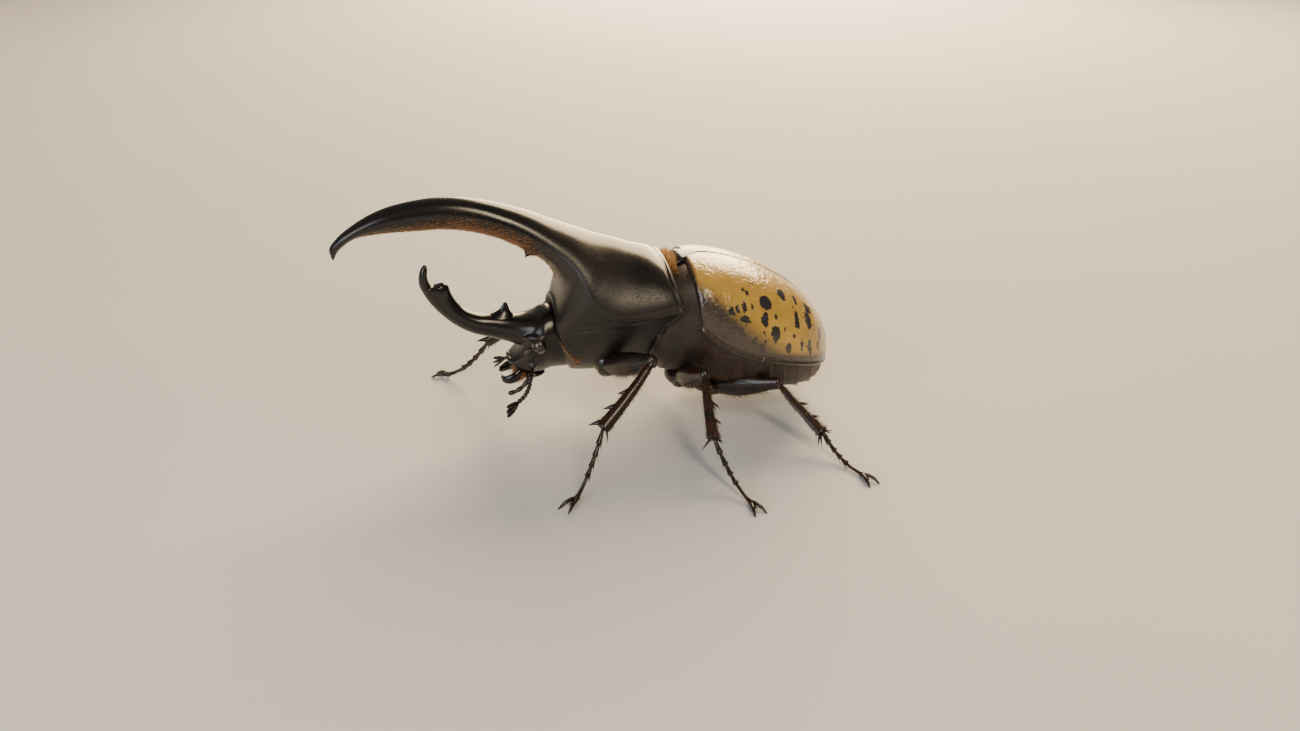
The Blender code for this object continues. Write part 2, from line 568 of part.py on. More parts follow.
def hind_core():
    """Hind thorax, abdomen and pygidium under the elytra, from one skin parted by two joints."""
    thorax = skin("hind_thorax", core_rings(), BELLY)
    abdomen = duplicate(thorax, "abdomen")
    pygidium = duplicate(thorax, "pygidium")
    trim(thorax, (0, ABDOMEN_Y, 0), (0, 1, 0))
    trim(abdomen, (0, ABDOMEN_Y + GAP, 0), (0, -1, 0))
    trim(abdomen, (0, PYGIDIUM_Y, 0), (0, 1, 0))
    trim(pygidium, (0, PYGIDIUM_Y + GAP, 0), (0, -1, 0))


def grown_core():
    """The hind body's skin grown by a gap, for cutting what sits against it."""
    return skin("grown_core", core_rings(COARSE_GAP), BELLY)


def along(path, share):
    """The point at a share of a straight path between two points."""
    return path[0] + (path[1] - path[0]) * share


def mitre(before, joint, after):
    """Normal of the plane that halves the angle at a joint, pointing onwards."""
    return unit(unit(joint - before) + unit(after - joint))


def lengthened(start, end, extra):
    """The two ends moved apart by `extra` at each end."""
    step = unit(end - start) * extra
    return start - step, end + step


def femur(place, side, hip, knee, knee_plane, body_cutter):
    """Coxa and thigh in one, cut clear of the body and mitred at the knee."""
    name = f"femur_{place}_{side}"
    reach = lengthened(hip, knee, FEMUR_EXTRA)
    path = [along(reach, t) for t in FEMUR_PLACES]
    thigh = tube(name, path, FEMUR_RADII[place], LEG, sides=10, flat=FEMUR_FLATNESS)
    centre, radii = COXA[place]
    turn = 1 if side == "left" else -1
    fuse([thigh, ball("coxa", np.array(centre) * (turn, 1, 1), radii, LEG, rows=8, sides=12)])
    carve(thigh, body_cutter)
    trim(thigh, knee - knee_plane * GAP / 2, knee_plane)


def tibia(place, side, knee, ankle, knee_plane, ankle_plane):
    """Shin with its outer teeth or spines and its end spurs, mitred at both ends."""
    name = f"tibia_{place}_{side}"
    path = [along(lengthened(knee, ankle, TIBIA_EXTRA), t) for t in TIBIA_PLACES]
    shaft = unit(ankle - knee)
    outer = np.array((0.0, -1.0 if place == FRONT else 1.0, -OUTER_EDGE_FALL))
    outer = unit(outer - shaft * (outer @ shaft))
    cross = np.cross(shaft, outer)
    shin = tube(name, path, TIBIA_RADII[place], LEG, sides=8, flat=TIBIA_FLATNESS, across=outer)
    if place == FRONT:
        points = [(t, outer, TOOTH_LENGTH, TOOTH_RADIUS) for t in FRONT_TEETH]
        points.append((END_PLACE, -outer, SPUR_LENGTH, SPUR_RADIUS))
    else:
        points = [(t, outer + cross * s, SPINE_LENGTH, SPINE_RADIUS)
                  for t in OUTER_SPINES for s in SPINE_ASIDE]
        for turn in np.radians(END_CROWN):
            way = outer * math.cos(turn) + cross * math.sin(turn)
            points.append((END_PLACE, way, SPINE_LENGTH, SPINE_RADIUS))
        points += [(END_PLACE, -outer + cross * s, SPUR_LENGTH, SPUR_RADIUS) for s in SPUR_ASIDE]
    spines = []
    for share, way, length, radius in points:
        root = along((knee, ankle), share)
        tip = root + unit(unit(way) + shaft * ONWARD_LEAN) * (length + SPINE_ROOT)
        spines.append(tooth("spine", tip, root, radius, LEG, across=shaft))
    fuse([shin] + spines)
    trim(shin, knee + knee_plane * GAP / 2, [-n for n in knee_plane])
    trim(shin, ankle - ankle_plane * GAP / 2, ankle_plane)


def tarsus(place, side, ankle, toe, claw, ankle_plane):
    """Five tarsal joints and two claws, cut flat where they touch the floor."""
    name = f"tarsus_{place}_{side}"
    span = toe - ankle
    stations, radii = [ankle - unit(span) * TARSUS_EXTRA], [TARSUS_RADII[1]]
    shares = np.concatenate([[0.0], np.cumsum(TARSUS_SHARES)])
    for first, last in zip(shares + NOTCH_ENDS[0], shares[1:] - NOTCH_ENDS[1]):
        for share, radius in zip((first, last), TARSUS_RADII):
            point = ankle + span * share
            point[2] -= TARSUS_SAG * np.linalg.norm(span) * 4 * share * (1 - share)
            point[2] = max(point[2], toe[2])
            stations.append(point)
            radii.append(radius)
    foot = tube(name, stations, radii, LEG, sides=8, flat=TARSUS_FLATNESS)
    pieces = [foot]
    reach = claw - toe
    aside = unit(np.cross(reach, (0, 0, 1.0)))
    for turn in (1, -1):
        path = []
        for t in CLAW_PLACES:
            rise = CLAW_ARCH * math.sin(CLAW_CURL * t) - CLAW_DROP * t
            path.append(toe + reach * (t - CLAW_SUNK) + aside * turn * CLAW_SPREAD * t ** CLAW_BOW
                        + np.array((0, 0, rise)))
        pieces.append(tube("claw", path, [CLAW_RADIUS * w for w in CLAW_TAPER], LEG, sides=6))
    fuse(pieces)
    trim(foot, ankle + ankle_plane * GAP / 2, [-n for n in ankle_plane])
    trim(foot, (0, 0, FLOOR), (0, 0, -1))


def legs():
    """Six legs of femur, tibia and tarsus."""
    for (place, side), points in LEGS.items():
        hip, knee, ankle, toe, claw = [np.array(point, float) for point in points]
        knee_plane = mitre(hip, knee, ankle)
        ankle_plane = mitre(knee, ankle, toe)
        cutter = grown_prothorax() if place == FRONT else grown_core()
        femur(place, side, hip, knee, knee_plane, cutter)
        tibia(place, side, knee, ankle, knee_plane, ankle_plane)
        tarsus(place, side, ankle, toe, claw, ankle_plane)


def mouthparts():
    """Mandibles, palps and chin under the head."""
    for turn, side in ((1, "left"), (-1, "right")):
        flip = np.array((turn, 1, 1))
        jaw = tube("mandible_" + side, smooth_rows(np.array(MANDIBLE) * flip, len(MANDIBLE_RADII)),
                   MANDIBLE_RADII, BLACK, sides=8, flat=MANDIBLE_FLATNESS)
        palp = tube("palp_" + side, smooth_rows(np.array(PALP) * flip, len(PALP_RADII)),
                    PALP_RADII, LEG, sides=6)
        carve(jaw, grown_head())
        carve(palp, grown_head())
    chin = ball("chin", CHIN["centre"], CHIN["radii"], BLACK)
    carve(chin, grown_head())


def feelers():
    """Ten-jointed antennae that end in a club of three leaves."""
    for turn, side in ((1, "left"), (-1, "right")):
        flip = np.array((turn, 1, 1))
        path = smooth_rows(np.array(FEELER) * flip, FEELER_STATIONS)
        beads = [SCAPE_RADIUS if k < SCAPE_STATIONS else BEAD_RADII[k % 2]
                 for k in range(FEELER_STATIONS)]
        stalk = tube("antenna_" + side, path, beads, LEG, sides=6)
        onward = unit(path[-1] - path[-3])
        up = np.array((0.0, 0.0, 1.0))
        pieces = [stalk]
        for leaf in range(CLUB_LEAF["count"]):
            number = leaf - (CLUB_LEAF["count"] - 1) / 2
            lean = number * CLUB_LEAF["fan"]
            way = onward * math.cos(lean) + up * math.sin(lean)
            wide, thin = CLUB_LEAF["radii"]
            root = path[-1] + up * number * CLUB_LEAF["apart"]
            line = [root + way * CLUB_LEAF["length"] * t for t in CLUB_LEAF["places"]]
            widths = [wide * w for w in CLUB_LEAF["taper"]]
            pieces.append(tube("leaf", line, widths, LEG, sides=8, flat=thin / wide,
                               across=np.cross(way, up)))
        fuse(pieces)
        carve(stalk, grown_head())


def scutellum_rings(grow=0.0):
    """Rings of the three-cornered plate between the bases of the elytra."""
    s = SCUTELLUM
    share = np.linspace(0, 1, 6)
    width = s["half_width"] * np.sqrt(1 - share ** s["plan_power"]) + s["point_width"]
    y = s["front_y"] + (s["tip_y"] - s["front_y"]) * share + grow * (2 * share - 1)
    top = s["z"] - s["tip_fall"] * share - s["front_fall"] * (1 - smooth_step(0, s["fall_share"], share))
    low = np.full_like(y, s["z"] - s["depth"])
    ones = np.ones_like(y)
    rows = np.stack([y, top, y, low, width, 0.5 * ones, ones, 2.0 * ones], axis=1)
    return form_rings(rows, (9, 12), grow)


def scutellum():
    """The plate itself, seated on the body behind the neck."""
    plate = skin("scutellum", scutellum_rings(), BLACK)
    carve(plate, grown_core())


def place_on_origin():
    """Parent every body to one empty and put the middle of the model's base at the origin."""
    root = bpy.data.objects.new("beetle_root", None)
    bpy.context.scene.collection.objects.link(root)
    bodies = [body for body in bpy.data.objects if body.type == "MESH"]
    points = np.concatenate([[body.matrix_world @ v.co for v in body.data.vertices] for body in bodies])
    middle = (points.min(axis=0) + points.max(axis=0)) / 2
    for body in bodies:
        body.parent = root
        body.data.shade_smooth()
        body.data.set_sharp_from_angle(angle=SHARP_EDGE)
    root.location = (-middle[0], -middle[1], 0)
    bpy.context.view_layer.update()


def main():
    for old in list(bpy.data.objects):
        bpy.data.objects.remove(old)
    prothorax()
    head()
    mouthparts()
    feelers()
    hind_core()
    scutellum()
    elytra()
    legs()
    place_on_origin()


main()
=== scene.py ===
"""Hercules beetle, a big male: the finished look of a still, life-size model.

The loaded frame holds the plain solids. Every finer piece below follows the same forms, worked
out in millimetres with the beetle facing -Y and its left side at +X. The last step of each piece
moves it onto the frame and turns millimetres to metres.
"""
import math

import bpy
import numpy as np
from mathutils import Matrix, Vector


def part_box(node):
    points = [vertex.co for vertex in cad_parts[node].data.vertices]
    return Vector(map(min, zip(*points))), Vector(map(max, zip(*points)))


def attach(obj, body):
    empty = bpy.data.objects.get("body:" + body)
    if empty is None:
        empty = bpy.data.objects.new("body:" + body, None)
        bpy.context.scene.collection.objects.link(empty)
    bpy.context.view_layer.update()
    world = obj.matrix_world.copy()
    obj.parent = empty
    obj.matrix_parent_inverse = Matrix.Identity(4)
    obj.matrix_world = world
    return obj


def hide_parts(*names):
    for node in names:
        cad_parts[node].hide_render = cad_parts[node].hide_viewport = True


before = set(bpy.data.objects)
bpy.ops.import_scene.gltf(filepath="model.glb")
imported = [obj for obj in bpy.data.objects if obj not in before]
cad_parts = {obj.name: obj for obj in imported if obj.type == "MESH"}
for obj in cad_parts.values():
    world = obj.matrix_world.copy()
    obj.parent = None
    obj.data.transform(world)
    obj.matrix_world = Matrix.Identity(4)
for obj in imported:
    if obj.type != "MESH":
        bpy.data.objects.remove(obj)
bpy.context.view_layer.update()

MM = 0.001
HALF_TURN = math.pi
DICE = np.random.default_rng(20)
SIDES = ((1, "left"), (-1, "right"))

# Thoracic horn and pronotum, then head and head horn. Columns: top y, top z, lowest y, lowest z,
# half width, share of the depth where it is widest, width of the lower end, squareness, and for
# the shield that of its upper half.
HORN_AND_SHIELD = (
    (-65.7, 51.5, -65.3, 51.4, 0.3, 0.5, 0.9, 2.0, 2.0),
    (-66.1, 54.0, -64.1, 53.4, 1.1, 0.5, 0.9, 2.0, 2.0),
    (-64.3, 56.5, -61.7, 55.4, 1.7, 0.5, 0.9, 2.0, 2.0),
    (-60.3, 59.5, -58.4, 56.9, 2.2, 0.5, 0.9, 2.0, 2.0),
    (-54.8, 62.4, -53.6, 57.4, 2.7, 0.5, 0.9, 2.0, 2.0),
    (-45.4, 64.6, -45.2, 57.5, 3.2, 0.5, 0.9, 2.1, 2.1),
    (-36.3, 64.9, -37.6, 57.4, 3.7, 0.5, 0.9, 2.1, 2.1),
    (-28.5, 63.6, -30.3, 56.0, 4.4, 0.5, 0.9, 2.2, 2.0),
    (-22.0, 61.6, -24.0, 53.6, 5.4, 0.5, 0.9, 2.2, 1.9),
    (-16.5, 59.5, -18.4, 50.2, 7.0, 0.5, 0.85, 2.2, 1.8),
    (-11.0, 57.0, -13.2, 45.6, 9.3, 0.51, 0.8, 2.3, 1.7),
    (-6.0, 54.9, -11.3, 40.4, 11.7, 0.48, 0.7, 2.5, 1.65),
    (-1.0, 52.8, -13.4, 34.0, 13.9, 0.44, 0.62, 2.8, 1.6),
    (4.0, 51.0, -15.6, 25.5, 15.6, 0.43, 0.57, 3.0, 1.62),
    (8.5, 49.3, -12.5, 17.6, 16.9, 0.41, 0.5, 3.0, 1.68),
    (12.4, 48.1, -3.0, 15.6, 17.5, 0.38, 0.5, 3.0, 1.8),
    (17.0, 46.1, 11.5, 16.0, 17.3, 0.33, 0.5, 3.0, 2.2),
)
SHIELD_ROWS, SHIELD_SIDES = 400, 160
# The shield's hind corners reach back beyond its hind face, above the side edge.
HIND_CORNER = dict(reach=3.0, full_x=15.0, rise_y=(3.0, 15.0), foot_z=(31.0, 34.5), top_z=(35.8, 44.8))
# Beads and grooves: way from the edge, width and height of each.
RIM = ((0.4, 0.35, 0.2), (1.2, 0.3, -0.2))
SIDE_EDGE = ((0.0, 0.45, 0.3), (1.2, 0.45, -0.18))
SUTURE_EDGE = ((0.0, 0.35, -0.25), (1.3, 0.35, -0.07))
MARGIN_EDGE = ((0.3, 0.3, 0.22), (1.1, 0.4, -0.25))
RIM_FALL = dict(depth=0.8, way=6.0)            # how the back falls to the rim
SIDE_LINE = ((-14, 0, 15), (30, 33.5, 35.6))   # y and z of the side edge
SIDE_FOLD = 0.4                                # how much further in the flank lies below it
# Behind the rim the shield rolls in: share of the rim's size, and way behind it.
SHIELD_LIP = ((0.995, 0.2), (0.982, 0.3), (0.965, 0.25), (0.95, 0.0), (0.94, -0.5), (0.92, -1.2),
              (0.88, -1.6), (0.6, -1.7))
HEAD_SEAT = dict(half_width=8.5, half_height=9.6, z=25.2, power=2.4, depth=2.2, lip=0.45)
DENTICLE = dict(foot=(3.2, -17.9, 51.2), tip=(3.4, -19.7, 48.5), reach=2.5)
HEAD = (
    (-14.3, 33.8, -14.3, 16.8, 7.2, 0.45, 0.8, 2.4),
    (-16.3, 33.2, -16.3, 16.2, 7.7, 0.45, 0.8, 2.4),
    (-18.9, 30.8, -18.2, 16.0, 7.5, 0.45, 0.8, 2.4),
    (-20.8, 26.6, -20.0, 16.4, 6.4, 0.45, 0.85, 2.6),
    (-22.6, 23.0, -22.0, 17.4, 5.2, 0.45, 0.9, 2.8),
    (-24.4, 20.8, -24.0, 18.8, 4.2, 0.45, 0.9, 3.0),
)
HEAD_HORN = (
    (-43.5, 48.0, -44.2, 48.2, 0.5, 0.5, 0.9, 2.0),
    (-43.4, 46.7, -45.1, 47.1, 1.0, 0.5, 0.9, 2.0),
    (-43.6, 45.2, -45.7, 45.4, 1.3, 0.5, 0.9, 2.0),
    (-43.3, 43.4, -45.9, 43.3, 1.5, 0.5, 0.9, 2.0),
    (-42.6, 42.3, -45.6, 41.8, 1.6, 0.5, 0.9, 2.0),
    (-41.3, 42.5, -45.2, 40.9, 1.7, 0.5, 0.9, 2.1),
    (-39.8, 42.9, -44.8, 40.0, 1.8, 0.55, 0.9, 2.2),
    (-38.8, 42.2, -44.2, 38.8, 1.9, 0.55, 0.9, 2.2),
    (-38.2, 40.2, -43.3, 37.3, 2.0, 0.55, 0.9, 2.2),
    (-36.9, 37.4, -41.4, 34.8, 2.2, 0.52, 0.9, 2.2),
    (-34.8, 35.2, -38.2, 31.5, 2.4, 0.5, 0.9, 2.2),
    (-31.6, 33.6, -34.0, 28.7, 2.6, 0.5, 0.9, 2.3),
    (-27.6, 32.9, -28.8, 26.8, 2.9, 0.5, 0.9, 2.3),
    (-23.6, 32.4, -24.6, 25.2, 3.6, 0.5, 0.9, 2.3),
    (-20.2, 32.3, -21.0, 23.6, 4.8, 0.5, 0.9, 2.3),
    (-17.6, 32.7, -18.2, 22.0, 6.1, 0.5, 0.9, 2.3),
    (-15.6, 33.2, -16.0, 20.8, 6.8, 0.5, 0.9, 2.3),
)
# Tooth on the head horn: y, z and radius from its root to its tip.
MIDDLE_TOOTH = ((-26.7, 31.5, 4.4), (-26.2, 32.7, 3.2), (-25.7, 33.3, 2.3), (-25.3, 33.9, 1.6),
                (-25.0, 34.6, 1.1), (-24.85, 35.5, 0.75), (-24.8, 36.2, 0.5))
TOOTH_FLATNESS = 0.5
CLYPEUS = dict(y=-24.4, z=20.6, half_width=4.4, bow=1.4, lobe=0.7, drop=0.6, radius=0.55)
BROW = ((4.4, -21.0, 27.2), (6.0, -19.6, 28.0), (6.9, -17.6, 28.0), (7.2, -15.6, 27.2))
BROW_RADIUS = 0.85
CANTHUS = ((3.6, -20.6, 22.0), (6.6, -20.2, 24.4), (8.2, -19.4, 25.8), (8.9, -18.4, 26.3))
CANTHUS_RADII = (1.1, 0.32)
FEELER_SOCKET = dict(centre=(5.4, -19.2, 20.2), radii=(1.7, 1.3, 1.3))
EYE = dict(centre=(6.9, -17.5, 26.0), radii=(2.1, 1.9, 2.2))
CHIN = dict(centre=(0, -18.8, 15.2), radii=(2.6, 3.4, 1.1))
MELT_CELL, MELT_PASSES = 0.2, 9

# Suture line, margin of the wing cases and belly line. Columns: y and z of each.
HIND_BODY = (
    (21.8, 45.3, 22.8, 30.2, 22.8, 11.4),
    (27.0, 45.1, 26.5, 26.6, 27.0, 10.0),
    (33.0, 43.9, 32.5, 22.9, 33.0, 8.4),
    (39.8, 41.5, 39.0, 20.3, 39.5, 7.1),
    (46.5, 38.1, 46.0, 18.4, 46.0, 6.2),
    (53.0, 33.7, 52.8, 16.4, 52.0, 5.6),
    (58.4, 28.2, 58.4, 14.4, 57.4, 5.8),
    (61.8, 22.4, 61.4, 13.1, 60.6, 7.2),
    (63.2, 16.8, 62.7, 12.4, 61.8, 9.0),
    (63.3, 13.2, 63.1, 12.2, 62.0, 10.2),
)
ELYTRA = dict(half_width=18.6, widest_y=38.0, reach=25.2, power=2.7, squareness=2.5, thickness=0.9)
FRONT_FALL = dict(depth=1.3, way=1.6)          # how the wing cases round off at their front edge
SHOULDER_KNOB = dict(y=25.5, z=38.5, height=0.45)
TIP_KNOB = dict(x=10.5, y=55.5, height=0.35)
KNOB_SPREAD = 3.0
SUTURE_GAP = 0.05
CORE_GAP = 1.2                                 # from the wing cases' outer face to the body inside
BELLY_SQUARENESS, NECK_SQUARENESS = 2.3, 2.5
BELLY_DROP = 0.35
ROOF_ANGLES = np.linspace(-0.5, 0.5, 50) * HALF_TURN
BELLY_ANGLES = np.linspace(0.5, 1.5, 122)[1:-1] * HALF_TURN
# Neck: way behind the shield's hind face, top z, lowest z, half width.
NECK = ((-1.5, 43.0, 18.2, 13.2), (0.3, 43.4, 17.5, 13.4), (1.5, 43.6, 16.3, 13.7),
        (2.7, 43.8, 15.0, 14.0))
BELLY_STEPS = dict(front_y=34.0, spacing=3.92, height=0.42, bow=0.012)
SCUTELLUM = dict(front_y=18.2, tip_y=26.0, half_width=4.3, z=45.45, depth=2.2)

# Legs: hip, knee, ankle, toe and claw points, as the beetle stands.
LEGS = {
    ("front", "left"): ((8, -1, 18.5), (22, 8.8, 25.8), (31, -6, 13.8), (41, -15, 0.8), (45, -19.6, 0)),
    ("front", "right"): ((-8, -1, 18.5), (-20, -11, 26), (-23.5, -28, 14), (-32, -40, 0.8), (-35, -44.4, 0)),
    ("middle", "left"): ((8.5, 19, 13), (23, 22.2, 20.7), (37, 20.5, 10.5), (53, 25.4, 0.8), (58, 26.6, 0)),
    ("middle", "right"): ((-8.5, 19, 13), (-23, 20.8, 20.7), (-37, 17.6, 10.5), (-52, 16, 0.8),
                          (-57, 15.2, 0)),
    ("hind", "left"): ((7, 28, 8.8), (20, 43.2, 14.1), (33, 51, 5.6), (48, 56.4, 0.8), (52.8, 58, 0)),
    ("hind", "right"): ((-7, 28, 8.8), (-19.4, 44, 14.6), (-31, 54, 6), (-40, 65.5, 0.8), (-42.8, 69.8, 0)),
}
FEMUR_PLACES = (0.0, 0.16, 0.4, 0.62, 0.85, 1.0)
FEMUR_RADII = dict(front=(1.9, 2.5, 3.2, 3.0, 2.1, 1.7), middle=(1.8, 2.3, 3.0, 2.7, 1.9, 1.6),
                   hind=(1.9, 2.5, 3.2, 2.9, 1.9, 1.6))
COXA = dict(front=((5.6, -0.5, 19.6), (4.6, 3.4, 3.6)), middle=((6.2, 19.4, 13.2), (4.6, 3.4, 2.8)),
            hind=((6.2, 27.4, 9.8), (5.6, 3.8, 2.2)))
TIBIA_PLACES = (0.0, 0.2, 0.45, 0.7, 0.9, 1.0)
TIBIA_RADII = dict(front=(1.0, 1.1, 1.3, 1.5, 1.7, 1.8), middle=(0.95, 1.05, 1.2, 1.35, 1.6, 1.9),
                   hind=(0.95, 1.05, 1.25, 1.4, 1.7, 2.0))
THIGH_FLATNESS, SHIN_FLATNESS = 0.78, 0.75
KEEL = ((HALF_TURN, 0.35, 0.06), (2.3, 0.3, -0.03))      # angle, width and height on the thigh
TROCHANTER = dict(start=-0.1, end=0.24, drop=0.9, radius=1.9)
SHIN_BOW, SHIN_EDGES = 0.35, 0.06
# Teeth of the front shin: share of the way along it and size. Spines of the others: places and
# angles from the outer edge, then the crown at the end. Spurs: lean across and length.
SHIN_TEETH = ((0.5, 0.8), (0.72, 1.0), (0.95, 1.15))
SPINE_PLACES, SPINE_TURNS = (0.42, 0.68), (-0.9, -0.35, 0.35, 0.9)
CROWN_TURNS = np.radians((-30, 5, 40, 75, 110, 145, 175))
SPURS = ((-0.2, 4.6), (-1.1, 3.9))
TARSUS_SHARES = (0.19, 0.14, 0.14, 0.14, 0.39)
TARSUS_ARCH = 0.1
CLAW = dict(spread=1.7, arch=0.9, drop=0.75, radius=0.55, sunk=0.12)
CLAW_PLACES, CLAW_TAPER = (0, 0.3, 0.6, 0.85, 1), (1, 0.95, 0.75, 0.45, 0.06)

MANDIBLE = ((3.2, -22.2, 16.9), (4.0, -24.2, 16.0), (3.5, -26.2, 15.5), (1.9, -27.4, 15.7))
PALP = ((3.5, -19.8, 17.0), (3.9, -21.2, 14.0), (4.1, -23.6, 12.2), (3.7, -26.0, 11.4))
FEELER = ((5.2, -19.0, 20.4), (8.2, -20.2, 18.4), (10.6, -21.2, 16.2), (12.0, -22.6, 14.6),
          (13.0, -24.4, 13.6))
FEELER_BEADS = 7
CLUB = dict(length=4.2, radius=0.95, flatness=0.33, fan=math.radians(18), apart=0.12)
CLUB_PLACES, CLUB_TAPER = (-0.12, 0.05, 0.3, 0.65, 0.9, 1), (0.3, 0.6, 0.95, 1, 0.72, 0.1)

# Dark marks on a wing case: shares of the way along and across it, half length, half width.
MARKS = (
    (0.416, 0.504, 1.9, 2.0), (0.506, 0.383, 1.3, 1.7), (0.573, 0.370, 0.6, 1.2),
    (0.307, 0.583, 0.9, 1.5), (0.272, 0.613, 0.55, 0.9), (0.238, 0.642, 0.7, 1.2),
    (0.407, 0.642, 1.0, 2.1), (0.457, 0.742, 1.25, 2.3), (0.561, 0.575, 0.9, 2.4),
    (0.632, 0.541, 1.2, 2.6), (0.640, 0.410, 1.2, 1.3), (0.737, 0.489, 1.0, 1.9),
    (0.710, 0.648, 1.0, 2.0), (0.586, 0.796, 0.55, 1.5), (0.633, 0.805, 0.9, 2.0),
    (0.518, 0.848, 0.9, 1.6), (0.397, 0.874, 0.7, 1.4), (0.290, 0.787, 0.8, 1.0),
    (0.314, 0.683, 1.7, 0.9), (0.360, 0.830, 0.45, 1.1), (0.703, 0.353, 0.9, 1.1),
    (0.800, 0.620, 0.9, 1.5), (0.840, 0.430, 1.1, 1.3), (0.860, 0.760, 0.8, 1.3),
    (0.775, 0.250, 0.7, 0.7), (0.910, 0.560, 0.7, 1.2), (0.460, 0.600, 0.5, 0.8),
    (0.350, 0.560, 0.5, 0.6), (0.500, 0.680, 0.45, 0.6), (0.690, 0.760, 0.7, 1.2),
)
SPECKS = 34

# Hair: how many strands each coat has, and how deep their roots sit in the skin.
STRANDS = dict(horn=10500, neck=1000, belly=3600, throat=500, mouth=900, cuff=16)
THIGH_BRISTLES = dict(count=260, length=1.5, width=0.035, ahead=0.8)
SHIN_BRISTLES = dict(count=420, length=1.2, width=0.04, ahead=1.3)
STRAND_RINGS = (0.0, 0.45)                     # shares of a strand's length with a ring of points
PATCH = 0.003                                  # a strand's share of the skin's unwrap
ROOT_DEPTH = 0.05
TOOTH_CLEARING = dict(centre=(3.4, 19.2, 49.6), bare=1.4, full=2.6)

# Stage, in metres. Panels: name, place, width, height, roll, power and colour.
PANELS = (
    ("far_panel", (-0.757, 0.403, 0.459), 0.56, 0.94, 38, 28.0, "#FFDFAE"),
    ("side_panel", (0.40, 0.10, 0.42), 0.10, 0.26, 0, 1.5, "#FFE9C4"),
    ("near_panel", (0.42, -0.55, 0.30), 0.50, 0.40, 0, 3.0, "#F1F4FA"),
)
PANEL_TARGET = (0, 0, 0.03)
WORLD_TONE, WORLD_STRENGTH = "#E6E3DD", 0.27
FLOOR_HALF = 4
CAMERA = dict(place=(256.2, -50.37, 147.61), azimuth=math.radians(76), pitch=math.radians(27),
              lens=30, sensor=36, nearest=0.005)     # place in millimetres, as the beetle's own


def smooth_step(low, high, value):
    """0 below low, 1 above high, and the cubic 3t^2 - 2t^3 between them."""
    t = np.clip((np.asarray(value, float) - low) / (high - low), 0.0, 1.0)
    return t * t * (3 - 2 * t)


def bell(value, middle, width):
    """A bump of height 1: e to the power of minus the squared distance from the middle."""
    return np.exp(-(((np.asarray(value, float) - middle) / width) ** 2))


def ridges(way, rows):
    """Relief over a way: the sum of a bell for each row of middle, width and height."""
    return sum(height * bell(way, middle, width) for middle, width, height in rows)


def unit(vectors):
    """Vectors of length 1 along the last axis."""
    vectors = np.asarray(vectors, float)
    return vectors / np.maximum(np.linalg.norm(vectors, axis=-1, keepdims=True), 1e-12)


def mirrored(points, side):
    """Points of the left side, or their mirror image where side is -1."""
    return np.array(points, float) * (side, 1, 1)


def round_angles(count):
    """Even angles once round, from 0."""
    return np.arange(count) * 2 * HALF_TURN / count


def read_rows(keys, shares):
    """Rows at shares 0 to 1 of the way along a cubic Hermite curve through the key rows.

    The way is measured by the distance between neighbouring rows, and each slope is the central
    difference there.
    """
    keys = np.array(keys, float)
    at = np.concatenate([[0.0], np.cumsum(np.linalg.norm(np.diff(keys, axis=0), axis=1))])
    slopes = np.gradient(keys, at, axis=0)
    wanted = np.asarray(shares, float) * at[-1]
    k = np.clip(np.searchsorted(at, wanted, side="right") - 1, 0, len(at) - 2)
    span = (at[k + 1] - at[k])[:, None]
    t = (wanted - at[k])[:, None] / span
    start = (1 + 2 * t) * (1 - t) ** 2 * keys[k] + t * (1 - t) ** 2 * span * slopes[k]
    end = t ** 2 * (3 - 2 * t) * keys[k + 1] - t ** 2 * (1 - t) * span * slopes[k + 1]
    return start + end


def arches(top, wide, low, half_width, angles, power, lower_ratio=1.0, upper_power=None):
    """Upright rings, angle 0 at the top, 90 degrees at the widest level, 180 at the bottom.

    A superellipse read at even polar angles: radius = (|cos|^n + |sin|^n)^(-1/n). The upper half
    may have its own n, and the lower half narrows by lower_ratio in step with its depth.
    """
    cosine, sine = np.cos(angles)[None], np.sin(angles)[None]
    powers = (power if upper_power is None else upper_power, power)
    n = np.where(cosine > 0, *(np.broadcast_to(np.asarray(value, float), half_width.shape)[:, None]
                               for value in powers))
    radius = (np.abs(cosine) ** n + np.abs(sine) ** n) ** (-1 / n)
    rise, side = radius * np.abs(cosine), radius * sine
    taper = 1 - (1 - np.broadcast_to(lower_ratio, half_width.shape))[:, None] * rise
    x = half_width[:, None] * side * np.where(cosine > 0, 1.0, taper)
    towards = np.where((cosine > 0)[..., None], (top - wide)[:, None], (low - wide)[:, None])
    return np.concatenate([x[..., None], wide[:, None] + towards * rise[..., None]], axis=2)


def form_rings(keys, count, sides):
    """Rings of a form given as top, lowest, half width, widest share, ratio and squareness."""
    rows = read_rows(keys, np.linspace(0, 1, count))
    top, low = rows[:, 0:2], rows[:, 2:4]
    wide = top + (low - top) * rows[:, 5:6]
    return arches(top, wide, low, rows[:, 4], round_angles(sides), rows[:, 7], rows[:, 6], rows[:, -1])


def grid_normals(grid, loop):
    """Unit normals of a grid: the cross product of its steps across and along."""
    if loop:
        across = np.roll(grid, -1, axis=1) - np.roll(grid, 1, axis=1)
    else:
        across = np.gradient(grid, axis=1)
    return unit(np.cross(across, np.gradient(grid, axis=0)))


def ring_normals(rings):
    """Normals of closed rings, turned away from each ring's middle."""
    normals = grid_normals(rings, True)
    outward = rings - rings.mean(axis=1, keepdims=True)
    return normals * np.sign((normals * outward).sum(axis=2).sum())


def roof_normals(grid):
    """Normals of an open arch, turned upwards."""
    normals = grid_normals(grid, False)
    return normals * np.sign(normals[..., 2].sum())


